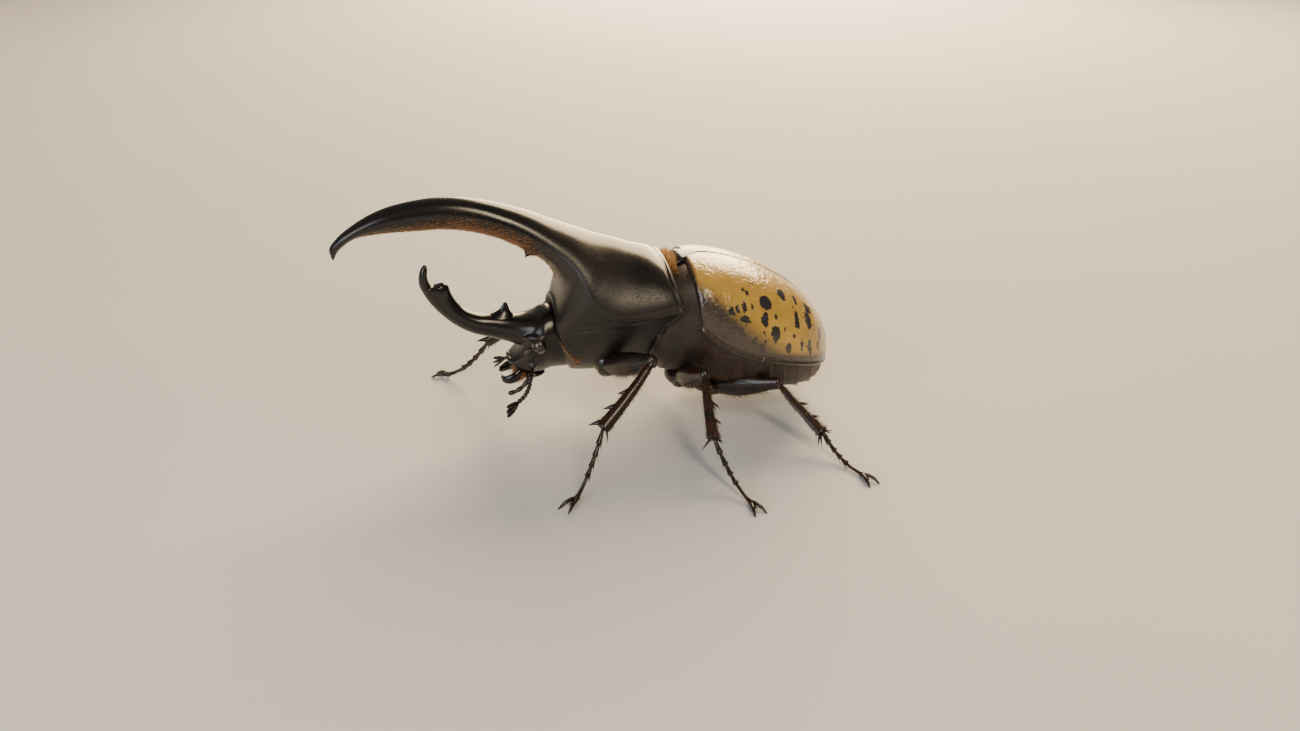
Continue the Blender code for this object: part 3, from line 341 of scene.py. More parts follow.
def way_along(grid, axis):
    """Distance in millimetres from the grid's start along an axis."""
    steps = np.linalg.norm(np.diff(grid, axis=axis), axis=2)
    zero = np.zeros_like(np.take(steps, [0], axis=axis))
    return np.concatenate([zero, np.cumsum(steps, axis=axis)], axis=axis)


class Form:
    """Points in millimetres with quads, triangles, caps, and named values for each point."""

    def __init__(self, points, quads=(), tris=(), caps=(), values=None):
        self.points = np.asarray(points, float).reshape(-1, 3)
        self.quads = np.asarray(quads, int).reshape(-1, 4)
        self.tris = np.asarray(tris, int).reshape(-1, 3)
        self.caps = [list(cap) for cap in caps]
        self.values = {name: np.asarray(v, float).reshape(len(self.points), -1)
                       for name, v in (values or {}).items()}


def turned_out(form):
    """The form with its faces outwards: all turned round if its enclosed volume is negative."""
    p = form.points - form.points.mean(axis=0)
    volume = 0.0
    for corners in (form.quads[:, :3], form.quads[:, [0, 2, 3]], form.tris):
        a, b, c = p[corners[:, 0]], p[corners[:, 1]], p[corners[:, 2]]
        volume += (a * np.cross(b, c)).sum()
    if volume < 0:
        form.quads = form.quads[:, ::-1]
        form.tris = form.tris[:, ::-1]
        form.caps = [cap[::-1] for cap in form.caps]
    return form


def joined(forms):
    """Several forms as one; values that a form lacks are 0 on it."""
    widths = {name: v.shape[1] for form in forms for name, v in form.values.items()}
    starts = np.cumsum([0] + [len(form.points) for form in forms])
    values = {name: np.concatenate([form.values.get(name, np.zeros((len(form.points), width)))
                                    for form in forms]) for name, width in widths.items()}
    return Form(np.concatenate([form.points for form in forms]),
                np.concatenate([form.quads + s for form, s in zip(forms, starts)]),
                np.concatenate([form.tris + s for form, s in zip(forms, starts)]),
                [[v + int(s) for v in cap] for form, s in zip(forms, starts) for cap in form.caps],
                values)


def loft(rings, values=None):
    """A closed form over rows of rings, with a flat cap at each end."""
    rows, sides = rings.shape[:2]
    index = np.arange(rows * sides).reshape(rows, sides)
    after = np.roll(index, -1, axis=1)
    quads = np.stack([index[:-1], after[:-1], after[1:], index[1:]], axis=-1)
    caps = [index[0][::-1].tolist(), index[-1].tolist()]
    return turned_out(Form(rings, quads, caps=caps, values=values))


def plate(outer, inner, values):
    """A closed plate between an outer and an inner grid, its rim one row of quads."""
    rows, cols = outer.shape[:2]
    size = rows * cols
    index = np.arange(size).reshape(rows, cols)
    face = np.stack([index[:-1, :-1], index[1:, :-1], index[1:, 1:], index[:-1, 1:]], axis=-1)
    face = face.reshape(-1, 4)
    rim = np.concatenate([index[0, :-1], index[:-1, -1], index[-1, :0:-1], index[:0:-1, 0]])
    edge = np.stack([rim, np.roll(rim, -1), np.roll(rim, -1) + size, rim + size], axis=-1)
    both = {name: np.concatenate([v.reshape(size, -1)] * 2) for name, v in values.items()}
    points = np.concatenate([outer.reshape(-1, 3), inner.reshape(-1, 3)])
    return turned_out(Form(points, np.concatenate([face, face[:, ::-1] + size, edge]), values=both))


def tube_rings(path, radii, sides=16, flat=1.0, across=(0, 0, 1), relief=1.0):
    """Rings square to a path: radius times cosine along `across`, radius * flat * sine athwart.

    `relief` multiplies the radius, by one number for each point of a ring where it has several.
    """
    path = np.array(path, float)
    ahead = unit(np.gradient(path, axis=0))
    across = np.array(across, float)
    wide = unit(across - ahead * (ahead @ across)[:, None])
    thin = np.cross(ahead, wide)
    angles = round_angles(sides)
    size = np.array(radii, float)[:, None] * relief
    return (path[:, None] + (size * np.cos(angles))[..., None] * wide[:, None]
            + (size * flat * np.sin(angles))[..., None] * thin[:, None])


def tube(path, radii, *shape):
    """A closed tube over the rings of tube_rings."""
    return loft(tube_rings(path, radii, *shape))


def rounded(shares, start, end):
    """Factors that close a tube like a ball: root of 1 - t^2 over `start` and `end` of its length."""
    out = np.ones_like(shares)
    for way, part in ((shares, start), (1 - shares, end)):
        if part:
            out *= np.sqrt(np.clip(1 - np.clip(1 - way / part, 0, 1) ** 2, 0.0004, 1))
    return out


def even_ends(count, pull):
    """Shares 0 to 1 that lie closer together near both ends: t - pull * sin(2 pi t) / (2 pi)."""
    t = np.linspace(0, 1, count)
    return t - pull * np.sin(2 * HALF_TURN * t) / (2 * HALF_TURN)


def ball(centre, radii, rows, sides):
    """An ellipsoid read at even angles, its poles along X closed by tiny caps."""
    turns = np.linspace(0.004, 0.996, rows) * HALF_TURN
    angles = round_angles(sides)
    x = np.repeat(np.cos(turns)[:, None], sides, axis=1)
    y = np.sin(turns)[:, None] * np.cos(angles)
    z = np.sin(turns)[:, None] * np.sin(angles)
    return loft(np.stack([x, y, z], axis=2) * np.array(radii) + np.array(centre))


def thorn(root, way, bend, length, radius, sides=10, rows=12, flat=1.0):
    """A curved spine: root + way * t * length + bend * t^2 * length, thinning as (1 - t)^0.8."""
    t = np.linspace(0, 1, rows)
    path = np.array(root) + np.outer(t * length, unit(way)) + np.outer(t ** 2 * length, bend)
    radii = radius * np.maximum((1 - t) ** 0.8, 0.03)
    return tube(path, radii, sides, flat, np.cross(unit(way), (0.31, 0.27, 0.91)))


def find_shift():
    """Where the wing cases' middle line and hind end lie in the frame, seen from the tables."""
    left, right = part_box("elytron_left"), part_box("elytron_right")
    return np.array(((left[0].x + right[1].x) / 2 / MM, left[1].y / MM - HIND_BODY[-1][0], 0.0))


SHIFT = find_shift()


# Finishes. Inputs by number are, for a Mix, 0 the factor, 6 and 7 the colours, and for a MapRange
# the value, the two ends it comes from and the two it goes to.

def colour(hex_code):
    """Linear colour from an sRGB hex value."""
    channels = [int(hex_code[k:k + 2], 16) / 255 for k in (1, 3, 5)]
    linear = [c / 12.92 if c <= 0.04045 else ((c + 0.055) / 1.055) ** 2.4 for c in channels]
    return (*linear, 1.0)


def scale_of(size):
    """A pattern's scale from the real size of its cells in millimetres."""
    return 1 / (size * MM)


def connect(tree, node, inputs):
    """Give each input its value, or link a socket to it; a hex value becomes a colour."""
    for name, value in inputs.items():
        if isinstance(value, bpy.types.NodeSocket):
            tree.links.new(value, node.inputs[name])
        else:
            node.inputs[name].default_value = colour(value) if isinstance(value, str) else value


def add(tree, kind, output, inputs=None, **settings):
    """Add a shader node with its settings, values and links; returns the socket it gives out."""
    made = tree.nodes.new("ShaderNode" + kind)
    for name, value in settings.items():
        setattr(made, name, value)
    connect(tree, made, inputs or {})
    return made.outputs[output]


def new_material(name, sockets):
    """A material with one Principled shader whose sockets are set here; returns it and its tree."""
    made = bpy.data.materials.new(name)
    made.use_nodes = True
    shader = made.node_tree.nodes["Principled BSDF"]
    connect(made.node_tree, shader, sockets)
    return made, made.node_tree, shader


def black_cuticle():
    """Sclerotised cuticle of the horns, shield and head, hardened and polished by its wax layer.

    The eye gets a near black, faintly brown gloss with soft broad lights. Where `grain` is 1,
    leathery wrinkles and pits 0.3 mm apart break the gloss; real pits are half that.
    """
    made, tree, shader = new_material("black_cuticle", {"Roughness": 0.2, "IOR": 1.5})
    place = add(tree, "TexCoord", "Object")
    grain = add(tree, "Attribute", "Fac", attribute_name="grain")
    cloud = add(tree, "TexNoise", "Fac", {"Vector": place, "Scale": scale_of(7.143), "Detail": 5.0})
    fine = add(tree, "TexNoise", "Fac", {"Vector": place, "Scale": scale_of(0.6667), "Detail": 4.0})
    wrinkle = add(tree, "TexNoise", "Fac", {"Vector": place, "Scale": scale_of(0.4167), "Detail": 3.0,
                                            "Distortion": 1.6})
    cells = add(tree, "TexVoronoi", "Distance", {"Vector": place, "Scale": scale_of(0.2941)})
    pit = add(tree, "MapRange", "Result", {0: cells, 1: 0.08, 2: 0.42})
    relief = add(tree, "Math", 0, {0: wrinkle, 1: 1.6, 2: pit}, operation="MULTIPLY_ADD")
    brown = add(tree, "MapRange", "Result", {0: cloud, 1: 0.35, 2: 0.7})
    base = add(tree, "Mix", 2, {0: brown, 6: "#080706", 7: "#140E0C"}, data_type="RGBA")
    leather = add(tree, "Math", 0, {0: grain, 1: 0.7}, operation="MULTIPLY")
    base = add(tree, "Mix", 2, {0: leather, 6: base, 7: "#1F1815"}, data_type="RGBA")
    rough = add(tree, "Math", 0, {0: grain, 1: 0.16, 2: 0.12}, operation="MULTIPLY_ADD")
    rough = add(tree, "Math", 0, {0: fine, 1: 0.12, 2: rough}, operation="MULTIPLY_ADD")
    depth = add(tree, "Math", 0, {0: grain, 1: 0.7, 2: 0.06}, operation="MULTIPLY_ADD")
    height = add(tree, "Math", 0, {0: relief, 1: depth}, operation="MULTIPLY")
    height = add(tree, "Math", 0, {0: fine, 1: 0.35, 2: height}, operation="MULTIPLY_ADD")
    bump = add(tree, "Bump", "Normal", {"Strength": 0.5, "Distance": 0.06 * MM, "Height": height})
    connect(tree, shader, {"Base Color": base, "Roughness": rough, "Normal": bump})
    return made


def ochre_elytra():
    """Wing cases: yellow pigment under a clear, hard outer cuticle.

    The eye gets olive ochre with a glassy coat over it, painted shade in dark brown over the
    shoulders, in a band above the margins, at the front edge and along the suture, black marks
    with ragged edges, lengthwise streaks about 0.5 mm apart and slow ripples that break the light.
    """
    made, tree, shader = new_material("ochre_elytra", {
        "Roughness": 0.34, "IOR": 1.5, "Coat Weight": 0.85, "Coat Roughness": 0.09})
    place = add(tree, "TexCoord", "Object")
    mark = add(tree, "Attribute", "Fac", attribute_name="mark")
    painted_shade = add(tree, "Attribute", "Fac", attribute_name="painted_shade")
    way = add(tree, "Attribute", "Vector", attribute_name="way")
    cloud = add(tree, "TexNoise", "Fac", {"Vector": place, "Scale": scale_of(6.25), "Detail": 4.0})
    ragged = add(tree, "TexNoise", "Fac", {"Vector": place, "Scale": scale_of(1.25), "Detail": 4.0})
    # `way` is in millimetres, and the streaks are 16.7 mm long and 0.45 mm wide.
    lengthwise = add(tree, "Mapping", "Vector", {"Vector": way, "Scale": (1 / 16.67, 1 / 0.4545, 1.0)})
    streak = add(tree, "TexNoise", "Fac", {"Vector": lengthwise, "Scale": 1.0, "Detail": 3.0})
    ripple = add(tree, "TexNoise", "Fac", {"Vector": place, "Scale": scale_of(2.381), "Detail": 2.5,
                                           "Distortion": 1.2})
    pale = add(tree, "MapRange", "Result", {0: cloud, 1: 0.3, 2: 0.7})
    base = add(tree, "Mix", 2, {0: pale, 6: "#A88028", 7: "#C69E3E"}, data_type="RGBA")
    streaked = add(tree, "MapRange", "Result", {0: streak, 1: 0.5, 2: 0.75, 3: 0.0, 4: 0.4})
    base = add(tree, "Mix", 2, {0: streaked, 6: base, 7: "#7A5A1C"}, data_type="RGBA")
    # Painted shade: the ochre turns dark brown over the shoulder, the margin band, the front edge and the
    # suture, its edge broken by the cloud.
    edge = add(tree, "Math", 0, {0: cloud, 1: 0.5, 2: painted_shade}, operation="MULTIPLY_ADD")
    dark = add(tree, "MapRange", "Result", {0: edge, 1: 0.3, 2: 1.05})
    base = add(tree, "Mix", 2, {0: dark, 6: base, 7: "#32241B"}, data_type="RGBA")
    edge = add(tree, "Math", 0, {0: ragged, 1: 1.8, 2: mark}, operation="MULTIPLY_ADD")
    spot = add(tree, "MapRange", "Result", {0: edge, 1: 1.0, 2: 0.82})
    base = add(tree, "Mix", 2, {0: spot, 6: base, 7: "#1B1613"}, data_type="RGBA")
    height = add(tree, "Math", 0, {0: streak, 1: 0.3, 2: ripple}, operation="MULTIPLY_ADD")
    bump = add(tree, "Bump", "Normal", {"Strength": 0.9, "Distance": 0.3 * MM, "Height": height})
    connect(tree, shader, {"Base Color": base, "Normal": bump, "Coat Normal": bump})
    return made


def limb_cuticle(name, dark, warm, roughness, pit_size, strength):
    """Cuticle of legs, mouthparts and feelers: thinner, so redder where light comes through.

    The eye gets brown black with chestnut clouds and sparse pits, each the foot of a bristle.
    """
    made, tree, shader = new_material(name, {"Roughness": roughness, "IOR": 1.55})
    place = add(tree, "TexCoord", "Object")
    cloud = add(tree, "TexNoise", "Fac", {"Vector": place, "Scale": scale_of(3.846), "Detail": 4.0})
    fine = add(tree, "TexNoise", "Fac", {"Vector": place, "Scale": scale_of(0.4545), "Detail": 3.0})
    cells = add(tree, "TexVoronoi", "Distance", {"Vector": place, "Scale": scale_of(pit_size)})
    pit = add(tree, "MapRange", "Result", {0: cells, 1: 0.05, 2: 0.3})
    chestnut = add(tree, "MapRange", "Result", {0: cloud, 1: 0.4, 2: 0.72})
    base = add(tree, "Mix", 2, {0: chestnut, 6: dark, 7: warm}, data_type="RGBA")
    rough = add(tree, "MapRange", "Result",
                {0: fine, 1: 0.3, 2: 0.7, 3: roughness - 0.06, 4: roughness + 0.1})
    height = add(tree, "Math", 0, {0: fine, 1: 0.4, 2: pit}, operation="MULTIPLY_ADD")
    bump = add(tree, "Bump", "Normal", {"Strength": strength, "Distance": 0.1 * MM, "Height": height})
    connect(tree, shader, {"Base Color": base, "Roughness": rough, "Normal": bump})
    return made


def faceted_eye():
    """Compound eye: hundreds of lenses under one clear coat, drawn 0.17 mm wide to show at all."""
    made, tree, shader = new_material("faceted_eye", {
        "Roughness": 0.2, "IOR": 1.56, "Coat Weight": 0.7, "Coat Roughness": 0.05})
    place = add(tree, "TexCoord", "Object")
    cells = add(tree, "TexVoronoi", "Distance", {"Vector": place, "Scale": scale_of(0.1667),
                                                 "Randomness": 0.35})
    lens = add(tree, "MapRange", "Result", {0: cells, 1: 0.1, 2: 0.6})
    base = add(tree, "Mix", 2, {0: lens, 6: "#3A2416", 7: "#120B08"}, data_type="RGBA")
    bump = add(tree, "Bump", "Normal", {"Strength": 0.5, "Distance": 0.05 * MM, "Height": cells},
               invert=True)
    connect(tree, shader, {"Base Color": base, "Normal": bump})
    return made


def hair(name, dark, light, tip_tone, roughness):
    """Bristles: hollow, resilient and a little see-through, so paler towards their tips.

    The eye gets soft silky strands, each a little lighter or darker than the next.
    """
    made, tree, shader = new_material(name, {"Roughness": roughness, "IOR": 1.55})
    tone = add(tree, "Attribute", "Fac", attribute_name="tone")
    tip = add(tree, "Attribute", "Fac", attribute_name="tip")
    base = add(tree, "Mix", 2, {0: tone, 6: dark, 7: light}, data_type="RGBA")
    pale = add(tree, "MapRange", "Result", {0: tip, 1: 0.2, 2: 1.0, 3: 0.0, 4: 0.55})
    base = add(tree, "Mix", 2, {0: pale, 6: base, 7: tip_tone}, data_type="RGBA")
    connect(tree, shader, {"Base Color": base})
    return made


BLACK = black_cuticle()
OCHRE = ochre_elytra()
LEG = limb_cuticle("leg_cuticle", "#120C0A", "#2E1710", 0.24, 0.7, 0.35)
BELLY = limb_cuticle("belly_cuticle", "#1A120E", "#33221A", 0.42, 0.5, 0.6)
EYE_FINISH = faceted_eye()
HAIR = hair("rust_hair", "#683E24", "#AC7648", "#CEA070", 0.5)
STRAW = hair("straw_hair", "#8E6030", "#C08C48", "#E0B478", 0.5)
BRISTLE = hair("dark_bristle", "#2B160C", "#6B3818", "#A9683A", 0.38)


# Pieces and strands

def linked(name, data):
    """A new object in the scene."""
    made = bpy.data.objects.new(name, data)
    bpy.context.scene.collection.objects.link(made)
    return made


def piece(name, form, finish, slot, *nodes):
    """A smooth object from a form, on the frame in metres, that rides on the body."""
    mesh = bpy.data.meshes.new(name)
    faces = form.quads.tolist() + form.tris.tolist() + form.caps
    mesh.from_pydata(((form.points + SHIFT) * MM).tolist(), [], faces)
    mesh.shade_smooth()
    mesh.materials.append(finish)
    for label, numbers in form.values.items():
        if label == "OFBake":
            corners = np.empty(len(mesh.loops), int)
            mesh.loops.foreach_get("vertex_index", corners)
            mesh.uv_layers.new(name="OFBake").data.foreach_set("uv", numbers[corners].ravel())
        else:
            kind, field = ("FLOAT", "value") if numbers.shape[1] == 1 else ("FLOAT_VECTOR", "vector")
            mesh.attributes.new(label, kind, "POINT").data.foreach_set(field, numbers.ravel())
    made = linked(name, mesh)
    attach(made, "root")
    if nodes:
        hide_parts(*nodes)


def scatter(rings, weight, count):
    """Random places on rings, as many in each cell as its area times its weight asks.

    Gives points, unit normals, unit steps along the rows, and both grid shares of each.
    """
    after = np.roll(rings, -1, axis=1)
    area = np.linalg.norm(np.cross(after[:-1] - rings[:-1], rings[1:] - rings[:-1]), axis=2)
    chance = (area * weight[:-1]).ravel()
    cell = DICE.choice(area.size, size=count, p=chance / chance.sum())
    i, j = np.unravel_index(cell, area.shape)
    s, t = DICE.random((2, count, 1))
    low = rings[i, j] * (1 - t) + after[i, j] * t
    high = rings[i + 1, j] * (1 - t) + after[i + 1, j] * t
    normal = np.cross(after[i, j] - rings[i, j], rings[i + 1, j] - rings[i, j])
    shares = np.concatenate([(i[:, None] + s) / rings.shape[0], (j[:, None] + t) / rings.shape[1]], axis=1)
    return low * (1 - s) + high * s, unit(normal), unit(high - low), shares


def away_from(middle, roots, normal):
    """Normals turned away from a middle."""
    return normal * np.sign(((roots - middle) * normal).sum(axis=1, keepdims=True))


def strands(roots, lean, fall, length, width, shares):
    """Three-sided strands: root + length * (lean * t + fall * t^2), width * (1 - 0.75 t), pointed.

    Each carries its own tone and its patch on the skin's own unwrap.
    """
    count = len(roots)
    length = np.broadcast_to(length, count)[:, None]
    lean, fall = unit(lean), np.broadcast_to(fall, (count, 3))
    side = unit(np.cross(lean, unit(DICE.normal(size=(count, 3)))))
    other = np.cross(lean, side)
    points, patch, tip = [], [], []
    for t in STRAND_RINGS:
        middle = roots + length * (lean * t + fall * t * t)
        for k in range(3):
            turn = 2 * HALF_TURN * k / 3
            spoke = side * math.cos(turn) + other * math.sin(turn)
            points.append(middle + spoke * (width * (1 - 0.75 * t)))
            patch.append((t - 0.5, k / 3 - 0.5))
            tip.append(t)
    points.append(roots + length * (lean + fall))
    patch.append((0.5, 0.0))
    tip.append(1.0)
    first = (np.arange(count) * len(points))[:, None, None]
    quads = np.array([[k, (k + 1) % 3, 3 + (k + 1) % 3, 3 + k] for k in range(3)])
    tris = np.array([[3 + k, 3 + (k + 1) % 3, 6] for k in range(3)] + [[2, 1, 0]])
    tone = np.repeat(DICE.random(count), len(points))
    uv = shares[:, None, :] + PATCH * np.array(patch)[None]
    return turned_out(Form(np.stack(points, axis=1), quads + first, tris + first, values={
        "tone": tone, "tip": np.tile(tip, count), "OFBake": uv}))


# Shield and thoracic horn

def from_head(x, z):
    """Distance from the head's middle, as a share of the superellipse round its seat."""
    s = HEAD_SEAT
    return ((np.abs(x) / s["half_width"]) ** s["power"]
            + (np.abs(z - s["z"]) / s["half_height"]) ** s["power"]) ** (1 / s["power"])


def shield_grid():
    """Rings of horn and shield with the rim bead, side edge, head seat and paired denticles.

    The rim is a bell-shaped bead with a groove before it, and the back falls to it as the square
    of the way left. The side edge is a bead along a line that falls forward. The seat is a hollow
    inside a superellipse round the head. Each denticle draws the points near it to one tip by the
    power 1.25 of 1.08 less their distance, as a share of its reach.
    """
    rings = form_rings(HORN_AND_SHIELD, SHIELD_ROWS, SHIELD_SIDES)
    x, y, z = np.moveaxis(rings, 2, 0)
    c = HIND_CORNER
    rings[..., 1] += c["reach"] * (smooth_step(0, c["full_x"], np.abs(x)) * smooth_step(*c["rise_y"], y)
                                   * smooth_step(*c["foot_z"], z) * (1 - smooth_step(*c["top_z"], z)))
    normals = ring_normals(rings)
    x, y, z = np.moveaxis(rings, 2, 0)
    from_rim = way_along(rings[::-1], 0)[::-1]
    fall = np.clip(1 - from_rim / RIM_FALL["way"], 0, 1) ** 2 * smooth_step(34, 38, z)
    below = z - np.interp(y, *SIDE_LINE)
    flank = smooth_step(8, 12, np.abs(x)) * smooth_step(-13, -6, y)
    side_edge = ridges(below, SIDE_EDGE) - SIDE_FOLD * smooth_step(0.2, -1.0, below)
    rise = ridges(from_rim, RIM) - RIM_FALL["depth"] * fall + flank * side_edge
    grid = rings + normals * rise[..., None]
    seat = from_head(x, z)
    facing = smooth_step(-6, -9, y) * smooth_step(-0.1, -0.5, normals[..., 1])
    grid[..., 1] += facing * (HEAD_SEAT["depth"] * smooth_step(1.1, 0.96, seat)
                              - HEAD_SEAT["lip"] * bell(seat, 1.16, 0.05))
    for side in (1, -1):
        foot, tip = mirrored((DENTICLE["foot"], DENTICLE["tip"]), side)
        far = np.linalg.norm((rings - foot) * (1.2, 1, 1), axis=2) / DENTICLE["reach"]
        grid += (np.clip(1.08 - far, 0, 1) ** 1.25)[..., None] * (tip - rings)
    return grid


def shield():
    """Pronotum and thoracic horn as one skin, its hind face rolled in over the rim."""
    grid = shield_grid()
    upright = ring_normals(grid)[..., 2]
    grain = smooth_step(0.9, 0.62, upright) * smooth_step(-26, -6, grid[..., 1])
    grain = np.maximum(grain, 0.25 * smooth_step(-20, -45, grid[..., 1]))
    last, centre = grid[-1], grid[-1].mean(axis=0)
    lip = np.array([centre + (last - centre) * scale + (0, back, 0) for scale, back in SHIELD_LIP])
    grain = np.concatenate([grain, np.repeat(grain[-1:], len(lip), axis=0)])
    piece("shield_and_horn", loft(np.concatenate([grid, lip]), {"grain": grain}), BLACK,
          "cuticle_black", "pronotum", "thoracic_horn")
    return grid


# Head and head horn

def melted(form):
    """Overlapping closed forms as one skin: remeshed on a cube grid, then relaxed."""
    mesh = bpy.data.meshes.new("melt")
    mesh.from_pydata((form.points * MM).tolist(), [], form.quads.tolist() + form.tris.tolist() + form.caps)
    body = linked("melt", mesh)
    skin = body.modifiers.new("Skin", "REMESH")
    skin.mode = "VOXEL"
    skin.voxel_size = MELT_CELL * MM
    relax = body.modifiers.new("Relax", "SMOOTH")
    relax.factor = 0.5
    relax.iterations = MELT_PASSES
    made = body.evaluated_get(bpy.context.evaluated_depsgraph_get()).to_mesh()
    points = np.empty(len(made.vertices) * 3)
    made.vertices.foreach_get("co", points)
    corners = np.empty(len(made.loops), int)
    made.loops.foreach_get("vertex_index", corners)
    bpy.data.objects.remove(body)
    return turned_out(Form(points / MM, corners.reshape(-1, 4)))


def clypeus_rim():
    """Raised front edge of the head: a tube along a shallow bow with two lobes."""
    c = CLYPEUS
    t = np.linspace(-1, 1, 41)
    y = c["y"] + c["bow"] * t ** 2 - c["lobe"] * bell(np.abs(t), 0.45, 0.25)
    rim = np.stack([c["half_width"] * t, y, c["z"] - c["drop"] * t ** 2], axis=1)
    return tube(rim, c["radius"] * rounded((t + 1) / 2, 0.1, 0.1))


def middle_tooth():
    """The horn's upright tooth: level ellipses whose radius and place follow its rows."""
    shares = np.linspace(0, 1, 40)
    y, z, radii = read_rows(MIDDLE_TOOTH, shares).T
    radii = (radii * rounded(shares, 0, 0.1))[:, None]
    turns = round_angles(24)
    return loft(np.stack([TOOTH_FLATNESS * radii * np.sin(turns), y[:, None] + radii * np.cos(turns),
                          np.repeat(z[:, None], 24, axis=1)], axis=2))


def head():
    """Skull, clypeus rim, brow and cheek ridges and the toothed horn, melted into one skin."""
    skull = form_rings(HEAD, 60, 72)
    neck = skull[:1] + np.array((0, 1, 0)) * np.array((4.5, 2.0))[:, None, None]
    parts = [loft(np.concatenate([neck, skull])), loft(form_rings(HEAD_HORN, 200, 64)), clypeus_rim(),
             middle_tooth()]
    shares = np.linspace(0, 1, 30)
    for side in (1, -1):
        brow = read_rows(mirrored(BROW, side), shares)
        parts.append(tube(brow, BROW_RADIUS * rounded(shares, 0.35, 0.2), 18))
        canthus = read_rows(mirrored(CANTHUS, side), shares)
        parts.append(tube(canthus, np.linspace(*CANTHUS_RADII, 30) * rounded(shares, 0, 0.12)))
        parts.append(ball(mirrored(FEELER_SOCKET["centre"], side), FEELER_SOCKET["radii"], 24, 28))
    skin = melted(joined(parts))
    low = smooth_step(33, 25, skin.points[:, 2]) * smooth_step(-30, -22, skin.points[:, 1])
    skin.values = {"grain": (0.15 + 0.7 * low).reshape(-1, 1)}
    piece("head_and_horn", skin, BLACK, "cuticle_black", "head", "head_horn")
    for side, label in SIDES:
        eye = ball(mirrored(EYE["centre"], side), EYE["radii"], 40, 56)
        piece("compound_eye_" + label, eye, EYE_FINISH, "eye_dark", "eye_" + label)


def mouth():
    """Mandibles with a cleft tip, jointed palps, and the chin plate."""
    shares = np.linspace(0, 1, 40)
    radii = np.interp(shares, (0, 0.2, 0.5, 0.8, 1), (1.5, 1.5, 1.3, 0.9, 0.12))
    joints = 0.42 + 0.24 * np.abs(np.sin(shares * HALF_TURN * 4)) ** 0.6
    joints *= rounded(shares, 0.02, 0.08)
    for side, label in SIDES:
        jaw = read_rows(mirrored(MANDIBLE, side), shares)
        second = thorn(jaw[29], (-0.5 * side, -0.5, 0.6), (0, 0, 0.2), 1.5, 0.6)
        blade = joined([tube(jaw, radii, 24, 0.6), second])
        piece("jaw_" + label, blade, BLACK, "cuticle_black", "mandible_" + label)
        palp = tube(read_rows(mirrored(PALP, side), shares), joints)
        piece("jointed_palp_" + label, palp, LEG, "leg_brown", "palp_" + label)
    piece("chin_plate", ball(CHIN["centre"], CHIN["radii"], 36, 48), BLACK, "cuticle_black", "chin")


def feelers():
    """Scape, seven beads and a club of three leaves on each side."""
    shares = np.linspace(0, 1, 110)
    beads = np.abs(np.sin((shares - 0.4) / 0.6 * HALF_TURN * FEELER_BEADS)) ** 0.7
    beads = np.where(shares < 0.4, 0.42 + 0.3 * smooth_step(0.05, 0.36, shares), 0.36 + 0.28 * beads)
    beads *= rounded(shares, 0.02, 0.02)
    t = np.linspace(CLUB_PLACES[0], 1, 30)
    radii = CLUB["radius"] * np.interp(t, CLUB_PLACES, CLUB_TAPER)
    for side, label in SIDES:
        path = read_rows(mirrored(FEELER, side), shares)
        parts = [tube(path, beads, 14)]
        onward = unit(path[-1] - path[-3])
        for number in (-1, 0, 1):
            lean = number * CLUB["fan"]
            way = onward * math.cos(lean) + np.array((0, 0, 1)) * math.sin(lean)
            leaf = path[-1] + np.outer(t, way) * CLUB["length"] + (0, 0, CLUB["apart"] * number)
            parts.append(tube(leaf, radii, 18, CLUB["flatness"], np.cross(way, (0, 0, 1))))
        piece("feeler_" + label, joined(parts), LEG, "leg_brown", "antenna_" + label)


# Wing cases, scutellum and hind body

def margin_half_width(y):
    """Half width along the margin: one superellipse in plan."""
    share = np.abs((y - ELYTRA["widest_y"]) / ELYTRA["reach"])
    return ELYTRA["half_width"] * np.sqrt(np.clip(1 - share ** ELYTRA["power"], 0, 1))


def wing_case_grid(along, across):
    """Arches from suture to margin, a quarter of a superellipse each."""
    rows = read_rows(HIND_BODY, along)
    return arches(rows[:, 0:2], rows[:, 2:4], rows[:, 4:6], margin_half_width(rows[:, 2]),
                  across * HALF_TURN / 2, ELYTRA["squareness"])


def all_marks(side):
    """The marks of one side, moved a little on the right one, and fine specks at random."""
    marks = [(a + DICE.normal(0, 0.012) * (side < 0), c + DICE.normal(0, 0.015) * (side < 0), u, v)
             for a, c, u, v in MARKS]
    spread = DICE.random((SPECKS, 2))
    return marks + [(0.12 + 0.8 * a, 0.97 - 0.62 * c, 0.16 + 0.2 * w, 0.25 + 0.3 * w)
                    for (a, c), w in zip(spread, DICE.random(SPECKS))]


def mark_distance(along, across, marks):
    """Distance in millimetres to the nearest mark's edge, below 0 inside it.

    Each mark is an ellipse in the grid's own lengths along and across.
    """
    nearest = np.full(along.shape, 9.0)
    for share_along, share_across, half_length, half_width in marks:
        row = int(share_along * (len(along) - 1))
        col = int(np.searchsorted(across[row] / across[row, -1], share_across))
        col = min(col, along.shape[1] - 1)
        size = np.hypot((along - along[row, col]) / half_length, (across - across[row, col]) / half_width)
        nearest = np.minimum(nearest, (size - 1) * min(half_length, half_width))
    return nearest


